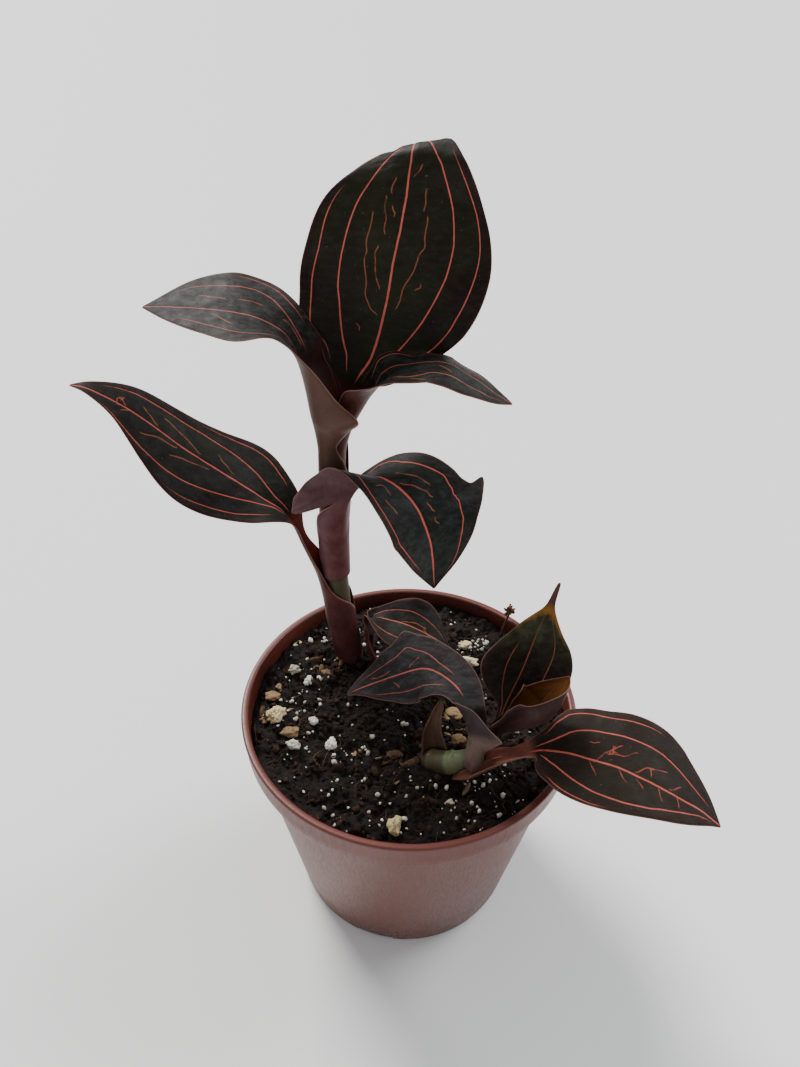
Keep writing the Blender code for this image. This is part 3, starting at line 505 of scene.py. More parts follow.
# Twelve perlite lumps and six bark chips are big enough to pick up. Perlite is a puffed
# mineral crumb, white to cream and full of pits; the chips are split flakes of raw bark.
LUMP_PLACES = {
    "perlite_01": (-47.5, -5.0, 4.6, 2.8, 2.4), "perlite_02": (-43.5, 17.0, 2.6, 2.0, 1.7),
    "perlite_03": (-44.0, 31.0, 2.2, 1.8, 1.5), "perlite_04": (-37.5, 11.5, 2.0, 1.8, 1.5),
    "perlite_05": (-34.0, -8.0, 2.2, 1.8, 1.5), "perlite_06": (-27.0, -16.5, 2.4, 1.9, 1.6),
    "perlite_07": (-40.0, -18.5, 2.3, 1.9, 1.6), "perlite_08": (22.5, 31.5, 2.7, 2.2, 1.8),
    "perlite_09": (23.0, 22.5, 3.4, 1.9, 1.6), "perlite_10": (30.0, 33.0, 2.2, 1.8, 1.5),
    "perlite_11": (36.5, -8.5, 2.4, 2.0, 1.6), "perlite_12": (-4.5, -48.5, 3.2, 2.4, 1.8),
    "bark_chip_1": (-42.5, -12.0, 3.2, 2.0, 1.1), "bark_chip_2": (-50.0, 4.5, 3.0, 1.8, 1.0),
    "bark_chip_3": (-30.5, 14.5, 3.0, 1.8, 1.0), "bark_chip_4": (16.5, -3.0, 3.6, 2.2, 1.2),
    "bark_chip_5": (17.5, -14.5, 3.2, 1.8, 1.1), "bark_chip_6": (-5.0, -21.0, 2.8, 1.8, 1.0)}


def broken_lump(name, node, seed, knobs, paint):
    """Lump that fills its CAD lump's box: a fine ball with random knobs and pits on it.

    The distance of each point from the middle grows by a sum of random cosine waves.
    """
    low, high = (np.array(corner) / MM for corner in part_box(node))
    corners, faces = ball(4)
    dice = np.random.default_rng(seed)
    waves = dice.standard_normal((24, 3)) * np.repeat([2.4, 6.0, 13.0], 8)[:, None]
    heights = np.cos(corners @ waves.T + dice.random(24) * 6.3) * np.repeat([1.0, 0.5, 0.25], 8)
    body = corners * np.clip(1.0 + knobs * heights.sum(axis=1, keepdims=True), 0.45, 1.6)
    body = (body - body.min(axis=0)) / (body.max(axis=0) - body.min(axis=0))
    points = low + body * (high - low) - [0.0, 0.0, 0.4]
    return put_mesh(name, points, [faces], paint, {"tone": np.full(len(points), dice.random())})


CREAM_PAINT = toned_paint("cream_perlite", shade(190, 172, 128), shade(214, 200, 164),
                          shade(126, 104, 70), 0.8, 0.95, 1300.0, 0.0003)
for number, node in enumerate(LUMP_PLACES):
    kind = node.split("_")[0]
    paint = FLAKE_PAINT if kind == "bark" else PERLITE_PAINT
    if node in ("perlite_01", "perlite_03", "perlite_08", "perlite_09", "perlite_12"):
        paint = CREAM_PAINT
    lump = broken_lump(node + "_lump", node, 60 + number, 0.09 if kind == "perlite" else 0.06, paint)
    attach(lump, "root")
    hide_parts(node)


# The main stem is a fleshy upright rod. It is olive green where it is bare between two
# sheaths, has a raised ring at each node, and goes down into the soil.
AXIS_HEIGHTS = (60, 84, 105, 125, 150, 166, 181, 195, 205)
AXIS_X = (-20.0, -22.9, -25.9, -27.2, -27.5, -26.5, -25.8, -24.5, -23.0)
AXIS_Y = 26.4


def smooth(knots, values, at):
    """Smooth cubic curve through the values, with each slope a mean of its two sides."""
    knots = np.asarray(knots, float)
    values = np.asarray(values, float)
    step = np.diff(knots)[:, None]
    rise = np.diff(values, axis=0) / step
    slope = np.empty_like(values)
    slope[1:-1] = (rise[:-1] * step[1:] + rise[1:] * step[:-1]) / (step[1:] + step[:-1])
    slope[0] = rise[0]
    slope[-1] = rise[-1]
    piece = np.clip(np.searchsorted(knots, at, side="right") - 1, 0, len(step) - 1)
    width = step[piece]
    u = (at - knots[piece])[:, None] / width
    return ((1 + 2 * u) * (1 - u) ** 2 * values[piece] + u * (1 - u) ** 2 * width * slope[piece]
            + u * u * (3 - 2 * u) * values[piece + 1]
            + u * u * (u - 1) * width * slope[piece + 1])


def along(places, share):
    """Points and directions at shares of the length of a smooth line through places."""
    places = np.asarray(places, float)
    hops = np.sqrt(np.linalg.norm(np.diff(places, axis=0), axis=1))
    knots = np.concatenate([[0.0], np.cumsum(hops)])
    fine = smooth(knots, places, np.linspace(0.0, knots[-1], 801))
    run = np.concatenate([[0.0], np.cumsum(np.linalg.norm(np.diff(fine, axis=0), axis=1))])
    run /= run[-1]

    def pick(at):
        return np.stack([np.interp(at, run, fine[:, k]) for k in range(3)], axis=1)

    ahead = pick(np.clip(share + 0.002, 0.0, 1.0))
    behind = pick(np.clip(share - 0.002, 0.0, 1.0))
    return pick(share), unit(ahead - behind)


def stem(name, places, radii, rings, paint, rows=160, sides=48):
    """Round stem along a line; each ring is (share, height, width) and stands out as a bead.

    The radius is the smooth curve through `radii`, plus a bell for each ring, plus faint
    ridges that run lengthways.
    """
    places = np.asarray(places, float)
    share = np.linspace(0.0, 1.0, rows)
    middle, heading = along(places, share)
    hops = np.concatenate([[0.0], np.cumsum(np.linalg.norm(np.diff(places, axis=0), axis=1))])
    radius = smooth(hops / hops[-1], np.asarray(radii, float)[:, None], share)
    for place, height, width in rings:
        radius = radius + height * np.exp(-((share[:, None] - place) / width) ** 2)
    side = unit(np.cross(heading, [0.3, 0.9, 0.1]))
    other = np.cross(heading, side)
    turn = np.arange(sides) * 2 * np.pi / sides
    ridges = 0.02 * np.cos(11 * turn) + 0.015 * np.cos(17 * turn + 1.0)
    points = middle[:, None] + (radius + ridges)[..., None] * (
        side[:, None] * np.cos(turn)[None, :, None] + other[:, None] * np.sin(turn)[None, :, None])
    ends = np.stack([np.arange(sides)[::-1], np.arange(sides) + (rows - 1) * sides])
    return put_mesh(name, points.reshape(-1, 3), [net(rows, sides, True), ends], paint,
                    {"share": np.repeat(share, sides), "round": np.tile(turn / 6.2832, rows)})


def skin_group():
    """Group: fleshy plant skin, streaked lengthways, flushed with a second colour, with pores."""
    group = bpy.data.node_groups.new("plant_skin", "ShaderNodeTree")
    for label, kind in (("Ground", "NodeSocketColor"), ("Flush", "NodeSocketColor"),
                        ("Streak", "NodeSocketColor"), ("Amount", "NodeSocketFloat")):
        group.interface.new_socket(label, in_out="INPUT", socket_type=kind)
    for label, kind in (("Colour", "NodeSocketColor"), ("Roughness", "NodeSocketFloat"),
                        ("Height", "NodeSocketFloat")):
        group.interface.new_socket(label, in_out="OUTPUT", socket_type=kind)
    given = group.nodes.new("NodeGroupInput")
    place = add_node(group, "TexCoord").outputs["Object"]
    cloud = noise(group, place, 110.0, 4.0)
    streak = noise(group, stretched(group, place, 1.0, 1.0, 0.10), 900.0, 3.0)
    pores = noise(group, place, 3200.0, 1.0)
    flush = sums(group, "MULTIPLY", ramp(group, cloud, 0.36, 0.66), given.outputs["Amount"])
    colour = mixed(group, flush, given.outputs["Ground"], given.outputs["Flush"])
    colour = mixed(group, ramp(group, streak, 0.52, 0.72, 0.0, 0.55), colour,
                   given.outputs["Streak"])
    colour = mixed(group, ramp(group, pores, 0.64, 0.74, 0.0, 0.10), colour,
                   shade(170, 150, 140))
    result = group.nodes.new("NodeGroupOutput")
    group.links.new(colour, result.inputs["Colour"])
    group.links.new(ramp(group, cloud, 0.3, 0.7, 0.40, 0.55), result.inputs["Roughness"])
    group.links.new(sums(group, "ADD", sums(group, "MULTIPLY", streak, 0.7), pores),
                    result.inputs["Height"])
    return group


SKIN = skin_group()


def skin_node(tree, ground, flush, streak, amount=1.0):
    """Plant skin group placed in a material with its own colours."""
    node = tree.nodes.new("ShaderNodeGroup")
    node.node_tree = SKIN
    for label, value in (("Ground", ground), ("Flush", flush), ("Streak", streak),
                         ("Amount", amount)):
        node.inputs[label].default_value = value
    return node


def stem_paint(name, foot, bare, top, low, high):
    """Stem skin that turns from one colour to another between shares of its length."""
    paint, tree, shader, place = new_paint(name)
    share = add_node(tree, "Attribute", {"attribute_name": "share"}).outputs["Fac"]
    first = skin_node(tree, foot, shade(84, 48, 42), shade(58, 38, 33))
    second = skin_node(tree, bare, shade(74, 62, 40), shade(52, 52, 32))
    third = skin_node(tree, top, shade(84, 62, 44), shade(70, 58, 40), 0.5)
    colour = mixed(tree, ramp(tree, share, low, low + 0.03), first.outputs[0], second.outputs[0])
    colour = mixed(tree, ramp(tree, share, high, high + 0.03), colour, third.outputs[0])
    finish_paint(tree, shader, colour, second.outputs["Roughness"], second.outputs["Height"],
                 0.00005)
    shader.inputs["Subsurface Weight"].default_value = 0.12
    shader.inputs["Subsurface Radius"].default_value = (0.9, 0.35, 0.2)
    shader.inputs["Subsurface Scale"].default_value = 0.0012
    return paint


def beside_axis(height, distance, degrees):
    """Point level with the axis at a height, set out from it in a compass direction."""
    turn = math.radians(degrees)
    middle = float(np.interp(height, AXIS_HEIGHTS, AXIS_X))
    return (middle + distance * math.cos(turn), AXIS_Y + distance * math.sin(turn), height)


STEM_HEIGHTS = (66, 84, 105, 125, 138, 150, 166, 180)
main_stem = stem("main_stem_rod", [beside_axis(z, 0.0, 0.0) for z in STEM_HEIGHTS],
                 (4.0, 4.4, 4.4, 4.3, 3.9, 3.4, 2.6, 1.6),
                 ((0.16, 0.5, 0.012), (0.535, 0.55, 0.010), (0.17, 0.3, 0.03)),
                 stem_paint("main_stem_skin", shade(84, 44, 40), shade(64, 60, 38),
                            shade(70, 46, 42), 0.20, 0.60))
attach(main_stem, "root")
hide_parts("main_stem")


# The lower left leaf is the biggest low leaf. Its foot is a sheath wrapped round the main
# stem, its stalk leans out to the left, and its blade is held up flat, with a middle vein
# and two coral veins on each side.
def leaf_surface(midrib, facing, stations, hug, share, across):
    """Grid of points on a leaf and the thickness direction at each.

    The midrib is a smooth line. At each share of its length the leaf is a round arc on
    either side of it, with half width, lift at the midrib, curl out to the margin and how
    far the margin is swept along the midrib, left and right. Where the foot hugs the shoot,
    each point is kept between the least and the most distance from the axis.
    """
    middle, heading = along(midrib, share)
    rows = np.asarray(facing, float)
    normal = smooth(rows[:, 0], unit(rows[:, 1:]), share)
    side = unit(np.cross(heading, normal))
    normal = np.cross(side, heading)
    rows = np.asarray(stations, float)
    columns = smooth(rows[:, 0], rows[:, 1:], share)
    out = np.abs(across)
    right = across >= 0
    width, lift, curl, sweep = (
        np.where(right, columns[:, k + 1, None], columns[:, k, None]) for k in (0, 2, 4, 6))
    width = np.maximum(width, 0.3)
    lift = np.radians(lift)
    curl = np.radians(curl)
    curl = np.where(np.abs(curl) < 0.001, 0.001, curl)
    sideways = width * (np.sin(lift + curl * out) - np.sin(lift)) / curl
    sideways = np.where(right, sideways, -sideways)
    upward = width * (np.cos(lift) - np.cos(lift + curl * out)) / curl
    forward = sweep * out ** 2
    points = (middle[:, None] + side[:, None] * sideways[..., None]
              + normal[:, None] * upward[..., None] + heading[:, None] * forward[..., None])
    if hug:
        rows = np.asarray(hug, float)
        height = points[..., 2]
        centre = np.interp(height, AXIS_HEIGHTS, AXIS_X)
        dx = points[..., 0] - centre
        dy = points[..., 1] - AXIS_Y
        distance = np.hypot(dx, dy)
        least = np.interp(share, rows[:, 0], rows[:, 1])[:, None]
        most = np.interp(share, rows[:, 0], rows[:, 2])[:, None]
        held = (share <= rows[-1, 0])[:, None]
        scale = np.where(held, np.clip(distance, least, most) / np.maximum(distance, 0.01), 1.0)
        points = np.stack([centre + dx * scale, AXIS_Y + dy * scale, height], axis=-1)
    return points, unit(np.cross(np.gradient(points, axis=1), np.gradient(points, axis=0)))


def veined_grid(veins, share, fine):
    """Positions across the leaf for each row, with a grid column on each of the five veins."""
    rows = np.asarray(veins, float)
    lines = np.stack([np.interp(share, rows[:, 0], rows[:, k]) for k in range(1, 6)], axis=1)
    marks = np.concatenate([np.full((len(share), 1), -1.0), lines,
                            np.full((len(share), 1), 1.0)], axis=1)
    step = np.linspace(0.0, 6.0, 6 * fine + 1)
    low = np.minimum(step.astype(int), 5)
    part = step - low
    return marks[:, low] * (1 - part) + marks[:, low + 1] * part


def thread_fields(points, normal, across, threads):
    """Distance to the nearest veinlet in millimetres: signed by side, and plain.

    Each veinlet is a line of (share, position across), read as closely spaced dots on the
    leaf. The sign is that of (point - dot) . (direction x normal).
    """
    signed = np.full(points.shape[:2], 9.0)
    plain = np.full(points.shape[:2], 9.0)
    rows = len(points)
    for thread in threads:
        knots = np.asarray(thread, float)
        at = np.linspace(0.0, len(knots) - 1.0, 40 * (len(knots) - 1) + 1)
        wanted = smooth(np.arange(len(knots)), knots, at)
        wanted[:, 1] += 0.010 * np.sin(at * 5.1 + knots[0, 0] * 40)
        place = np.clip(wanted[:, 0] * (rows - 1), 0, rows - 1.001)
        row = place.astype(int)
        step = (place - row)[:, None]
        line = across[row]
        column = np.clip((line < wanted[:, 1:]).sum(axis=1) - 1, 0, across.shape[1] - 2)
        first = line[np.arange(len(at)), column]
        beyond = line[np.arange(len(at)), column + 1]
        part = ((wanted[:, 1] - first) / np.maximum(beyond - first, 1e-6))[:, None]
        dots = ((points[row, column] * (1 - part) + points[row, column + 1] * part) * (1 - step)
                + (points[row + 1, column] * (1 - part)
                   + points[row + 1, column + 1] * part) * step)
        ahead = unit(np.gradient(dots, axis=0))
        near = slice(max(row.min() - 12, 0), row.max() + 13)
        block = points[near]
        away = np.linalg.norm(block[:, :, None] - dots[None, None], axis=-1)
        closest = away.argmin(axis=2)
        away = away.min(axis=2)
        aside = np.cross(ahead[closest], normal[near])
        turned = np.where(((block - dots[closest]) * aside).sum(axis=-1) < 0, -away, away)
        nearer = away < plain[near]
        signed[near] = np.where(nearer, turned, signed[near])
        plain[near] = np.minimum(plain[near], away)
    return signed, plain


def grow_leaf(name, leaf, paint, rows=220, fine=15):
    """Closed thin leaf from a table of its shape and veins.

    The upper sheet has a fine grid with columns along the veins. Veins lie in shallow
    grooves above and stand out as ribs below, and the flesh between them is slightly
    domed. The lower sheet has every third column, and strips join the two all round.
    """
    share = np.linspace(0.0, 1.0, rows)
    across = veined_grid(leaf["veins"], share, fine)
    points, normal = leaf_surface(leaf["midrib"], leaf["facing"], leaf["stations"],
                                  leaf.get("hug"), share, across)
    columns = across.shape[1]
    run = np.concatenate([np.zeros((rows, 1)), np.cumsum(np.linalg.norm(
        np.diff(points, axis=1), axis=-1), axis=1)], axis=1)
    lines = run[:, fine:-fine:fine]
    slant = np.linalg.norm(np.cross(unit(np.gradient(points, axis=0)),
                                    unit(np.gradient(points, axis=1))), axis=-1)
    gaps = np.abs(run[:, :, None] - lines[:, None, :]) * slant[:, None, fine:-fine:fine]
    nearest = gaps.argmin(axis=2)
    gap = np.take_along_axis(gaps, nearest[..., None], axis=2)[..., 0]
    margin = np.minimum(run, run[:, -1:] - run)
    reach = np.asarray(leaf["reach"], float)
    fade = (np.clip((share[:, None] - reach[:, 0]) / 0.05, 0, 1)
            * np.clip((reach[:, 1] - share[:, None]) / 0.10, 0, 1))
    thick = np.asarray(leaf["vein_widths"], float) * (1.15 - 0.5 * share[:, None]) * fade
    width = np.take_along_axis(thick, nearest, axis=1)
    start, end = leaf["stalk"]
    stalk = np.repeat(np.clip((end - share) / (end - start), 0.0, 1.0)[:, None], columns, axis=1)
    thread, near = thread_fields(points, normal, across, leaf.get("veinlets", ()))
    half = 0.24 + 0.13 * stalk
    half = half * (0.4 + 0.6 * np.clip(margin / 0.7, 0.0, 1.0))
    groove = np.exp(-(gap / 0.42) ** 2) * np.clip(width, 0.0, 1.0) * (1 - stalk)
    length = np.concatenate([[0.0], np.cumsum(np.linalg.norm(np.diff(
        points[:, columns // 2], axis=0), axis=1))])[:, None]
    swell = (0.34 * soft_lumps(run, length + 0 * run, 5.5, leaf["seed"])
             + 0.10 * soft_lumps(run, length + 0 * run, 1.3, leaf["seed"] + 1))
    swell = swell * (1 - stalk) * np.clip(margin / 2.0, 0.0, 1.0)
    upper = points + normal * (half + swell - 0.16 * groove)[..., None]
    lower = points - normal * (half - swell + 0.14 * groove)[..., None]
    lower = lower[:, ::3]
    lower_columns = lower.shape[1]
    shift = rows * columns
    face = net(rows, columns)
    under = net(rows, lower_columns)[:, ::-1] + shift
    i = np.arange(rows - 1)
    left = np.stack([i * columns, (i + 1) * columns, shift + (i + 1) * lower_columns,
                     shift + i * lower_columns], axis=1)
    right = np.stack([(i + 1) * columns + columns - 1, i * columns + columns - 1,
                      shift + i * lower_columns + lower_columns - 1,
                      shift + (i + 1) * lower_columns + lower_columns - 1], axis=1)
    m = np.arange(lower_columns - 1)
    foot = np.stack([3 * m + 3, 3 * m + 2, 3 * m + 1, 3 * m, shift + m, shift + m + 1], axis=1)
    high = (rows - 1) * columns + 3 * m
    low = shift + (rows - 1) * lower_columns + m
    tip = np.stack([high, high + 1, high + 2, high + 3, low + 1, low], axis=1)
    fields = {"gap": gap, "width": width, "thread": thread, "near": near, "margin": margin, "stalk": stalk,
              "share": np.repeat(share[:, None], columns, axis=1), "across": across}
    values = {key: np.concatenate([value.ravel(), value[:, ::3].ravel()])
              for key, value in fields.items()}
    values["under"] = np.concatenate([np.zeros(rows * columns), np.ones(lower.size // 3)])
    return put_mesh(name, np.concatenate([upper.reshape(-1, 3), lower.reshape(-1, 3)]),
                    [face, under, left, right, foot, tip], paint, values)


def field(tree, name):
    return add_node(tree, "Attribute", {"attribute_name": name}).outputs["Fac"]


def blade_group():
    """Group: the dark upper face of a blade, with coral veins, veinlets, a pale margin and grey streaks
    that are partly the leaf's own bloom and partly painted sheen.
    """
    group = bpy.data.node_groups.new("velvet_blade", "ShaderNodeTree")
    for label, kind in (("Dark", "NodeSocketColor"), ("Green", "NodeSocketColor"),
                        ("Warm", "NodeSocketColor"), ("Vein", "NodeSocketColor"),
                        ("Thread", "NodeSocketColor"), ("Margin", "NodeSocketColor"),
                        ("Sheen_and_bloom", "NodeSocketFloat")):
        group.interface.new_socket(label, in_out="INPUT", socket_type=kind)
    for label, kind in (("Colour", "NodeSocketColor"), ("Roughness", "NodeSocketFloat"),
                        ("Height", "NodeSocketFloat"), ("Vein mask", "NodeSocketFloat")):
        group.interface.new_socket(label, in_out="OUTPUT", socket_type=kind)
    given = group.nodes.new("NodeGroupInput")
    place = add_node(group, "TexCoord").outputs["Object"]
    cloud = noise(group, place, 55.0, 4.0)
    patch = noise(group, place, 230.0, 4.0, 0.6)
    cells = add_node(group, "TexVoronoi", {"feature": "F1"},
                     {"Vector": place, "Scale": 4200.0}).outputs["Distance"]
    margin = field(group, "margin")
    colour = mixed(group, ramp(group, cloud, 0.34, 0.66), given.outputs["Dark"],
                   given.outputs["Green"])
    warmth = sums(group, "MAXIMUM", ramp(group, patch, 0.52, 0.75, 0.0, 0.35),
                  ramp(group, margin, 3.0, 0.3))
    colour = mixed(group, warmth, colour, given.outputs["Warm"])
    # Grey streaks: partly the velvet's own dusty bloom, partly painted sheen standing for light reflected
    # off the velvet.
    streak = noise(group, stretched(group, place, 0.45, 1.0, 1.0), 520.0, 7.0, 0.72)
    sheen_and_bloom_amount = sums(group, "MULTIPLY", ramp(group, streak, 0.44, 0.74), given.outputs["Sheen_and_bloom"])
    colour = mixed(group, sheen_and_bloom_amount, colour, shade(98, 100, 100))
    freckle = ramp(group, noise(group, place, 1300.0, 2.0), 0.70, 0.76, 0.0, 0.35)
    colour = mixed(group, freckle, colour, shade(118, 112, 104))
    wobble = ramp(group, noise(group, place, 700.0, 2.0), 0.3, 0.7, -0.04, 0.04)
    gap = sums(group, "ADD", field(group, "gap"), wobble)
    edge = sums(group, "SUBTRACT", sums(group, "MULTIPLY", field(group, "width"), 0.5), gap)
    vein = sums(group, "MULTIPLY", ramp(group, edge, -0.07, 0.04),
                ramp(group, field(group, "width"), 0.02, 0.14))
    halo = ramp(group, edge, -0.7, 0.0, 0.0, 0.25)
    colour = mixed(group, halo, colour, given.outputs["Warm"])
    breaks = ramp(group, noise(group, place, 300.0, 2.0), 0.36, 0.48, 0.35, 1.0)
    line = ramp(group, sums(group, "ADD", sums(group, "ABSOLUTE", field(group, "thread")), wobble),
                0.26, 0.10)
    thread = sums(group, "MULTIPLY", sums(group, "MULTIPLY", line, breaks),
                  ramp(group, field(group, "near"), 0.75, 0.45))
    colour = mixed(group, sums(group, "MULTIPLY", thread, 0.8), colour, given.outputs["Thread"])
    veined = mixed(group, ramp(group, patch, 0.35, 0.65), given.outputs["Vein"],
                   given.outputs["Thread"])
    veined = mixed(group, 0.65, veined, given.outputs["Vein"])
    colour = mixed(group, vein, colour, veined)
    rim = ramp(group, margin, 0.34, 0.10, 0.0, 0.65)
    colour = mixed(group, rim, colour, given.outputs["Margin"])
    rough = ramp(group, patch, 0.3, 0.7, 0.42, 0.60)
    rough = sums(group, "ADD", rough, sums(group, "MULTIPLY", vein, 0.05))
    height = sums(group, "SUBTRACT", sums(group, "MULTIPLY", patch, 0.8),
                  sums(group, "MULTIPLY", cells, 0.9))
    result = group.nodes.new("NodeGroupOutput")
    group.links.new(colour, result.inputs["Colour"])
    group.links.new(rough, result.inputs["Roughness"])
    group.links.new(height, result.inputs["Height"])
    group.links.new(vein, result.inputs["Vein mask"])
    return group


BLADE = blade_group()
# The grey-streak strength in these tones is partly the leaf's own bloom and partly painted sheen.
BLADE_TONES = {"Dark": shade(17, 12, 9), "Green": shade(22, 23, 13), "Warm": shade(34, 18, 15),
               "Vein": shade(192, 86, 76), "Thread": shade(148, 80, 56),
               "Margin": shade(116, 74, 64), "Sheen_and_bloom": 0.10}


def leaf_paint(name, tones=None, under=shade(80, 56, 58), under_flush=shade(66, 42, 42),
               stalk=shade(88, 58, 56), stalk_flush=shade(74, 42, 40),
               inner=shade(84, 36, 31), inner_flush=shade(66, 27, 24)):
    """Leaf material: velvet blade above, mauve skin below, its own skin on stalk and sheath."""
    paint, tree, shader, place = new_paint(name)
    blade = tree.nodes.new("ShaderNodeGroup")
    blade.node_tree = BLADE
    for label, value in {**BLADE_TONES, **(tones or {})}.items():
        blade.inputs[label].default_value = value
    back = skin_node(tree, under, under_flush, shade(70, 44, 46))
    outer = skin_node(tree, stalk, stalk_flush, shade(80, 50, 48))
    lining = skin_node(tree, inner, inner_flush, shade(70, 30, 28))
    below = field(tree, "under")
    foot = ramp(tree, field(tree, "stalk"), 0.25, 0.75)
    rib = ramp(tree, field(tree, "gap"), 0.55, 0.15, 0.0, 0.35)
    lower = mixed(tree, rib, back.outputs["Colour"], shade(74, 42, 44))
    upper = mixed(tree, foot, blade.outputs["Colour"], lining.outputs["Colour"])
    lower = mixed(tree, foot, lower, outer.outputs["Colour"])
    edge = ramp(tree, field(tree, "margin"), 0.35, 0.10, 0.0, 0.55)
    lower = mixed(tree, edge, lower, shade(150, 112, 100))
    colour = mixed(tree, below, upper, lower)
    rough = add_node(tree, "Mix", {"data_type": "FLOAT"}, {
        0: sums(tree, "MAXIMUM", below, foot), 2: blade.outputs["Roughness"],
        3: back.outputs["Roughness"]}).outputs[0]
    height = add_node(tree, "Mix", {"data_type": "FLOAT"}, {
        0: sums(tree, "MAXIMUM", below, foot), 2: blade.outputs["Height"],
        3: outer.outputs["Height"]}).outputs[0]
    finish_paint(tree, shader, colour, rough, height, 0.00005)
    shader.inputs["Sheen Weight"].default_value = 0.02
    shader.inputs["Sheen Roughness"].default_value = 0.4
    shader.inputs["Sheen Tint"].default_value = shade(190, 200, 215)
    shader.inputs["Specular IOR Level"].default_value = 0.10
    return paint


LOWER_LEFT = {
    "midrib": [beside_axis(80.0, 5.2, 180), beside_axis(100.0, 5.2, 180),
               beside_axis(114.0, 5.3, 180), (-33.6, 26, 126), (-38, 26, 138.7),
               (-42.9, 26, 151.5), (-52, 27, 158.5), (-65, 28, 168), (-75.5, 29, 175.5),
               (-85.5, 30, 184), (-94, 31, 190), (-104, 32, 195), (-108.6, 32.5, 195.6)],
    "facing": [(0, 1, 0, 0), (0.22, 1, 0, 0.1), (0.36, 0.9, -0.2, 0.6),
               (0.5, 0.55, -0.35, 0.8), (0.8, 0.45, -0.4, 0.85), (1, 0.3, -0.3, 1)],
    "stations": [(0, 14.9, 14.9, 0, 0, 168, 168, 0, 0), (0.2, 15.1, 15.1, 0, 0, 166, 166, 0, 0),
                 (0.23, 12, 12.8, 0, 0, 130, 140, 0, 0), (0.26, 8.3, 8.8, 0, 0, 95, 100, 0, 0),
                 (0.34, 5, 5, 15, 15, 45, 45, 0, 0), (0.46, 4.4, 4.4, 25, 25, 40, 40, 0, 0),
                 (0.5, 9, 9.5, 20, 20, 10, 10, 0, 0), (0.59, 14.5, 17.5, 0, 0, 0, 0, 0, 0),
                 (0.69, 18, 14, 0, 0, 0, 0, 0, 0), (0.8, 12.5, 11, 0, 0, 0, 0, 0, 0),
                 (0.9, 5, 8.5, 0, 0, 0, 0, 0, 0), (1, 0.4, 0.4, 0, 0, 0, 0, 0, 0)],
    "hug": [(0, 5.2, 5.35), (0.2, 5.3, 5.8), (0.25, 5.4, 60), (0.4, 5.4, 60)],
    "veins": [(0.0, -0.6, -0.3, 0, 0.3, 0.6), (0.46, -0.5, -0.16, 0, 0.16, 0.5),
              (0.52, -0.60, -0.16, 0, 0.22, 0.78), (0.58, -0.78, -0.35, 0, 0.40, 0.85),
              (0.65, -0.82, -0.49, 0, 0.55, 0.87), (0.72, -0.90, -0.60, 0, 0.67, 0.90),
              (0.80, -0.95, -0.75, 0, 0.71, 0.92), (0.88, -0.97, -0.88, 0, 0.71, 0.92),
              (1.0, -0.9, -0.8, 0, 0.6, 0.8)],
    "reach": [(0.50, 0.76), (0.47, 0.95), (0.46, 1.1), (0.47, 0.97), (0.50, 0.76)],
    "vein_widths": (0.30, 0.38, 0.52, 0.38, 0.30),
    "veinlets": [[(0.853, 0.38), (0.83, 0.22), (0.812, 0.1)],
                 [(0.805, 0.45), (0.76, 0.33), (0.708, 0.12)],
                 [(0.828, -0.45), (0.80, -0.22), (0.755, -0.09)],
                 [(0.755, -0.31), (0.72, -0.18), (0.677, -0.11)],
                 [(0.67, 0.31), (0.65, 0.20), (0.625, 0.11)],
                 [(0.885, 0.10), (0.90, 0.28)], [(0.875, -0.05), (0.885, -0.25)],
                 [(0.90, -0.02), (0.905, 0.2), (0.895, 0.3)]],
    "stalk": (0.44, 0.495), "seed": 101}

lower_left = grow_leaf("lower_left_leaf", LOWER_LEFT, leaf_paint(
    "lower_left_leaf_skin", stalk=shade(84, 47, 45), stalk_flush=shade(66, 32, 30),
    inner=shade(118, 50, 40), inner_flush=shade(92, 36, 30)), 250, 15)
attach(lower_left, "root")
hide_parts("left_lower_leaf")


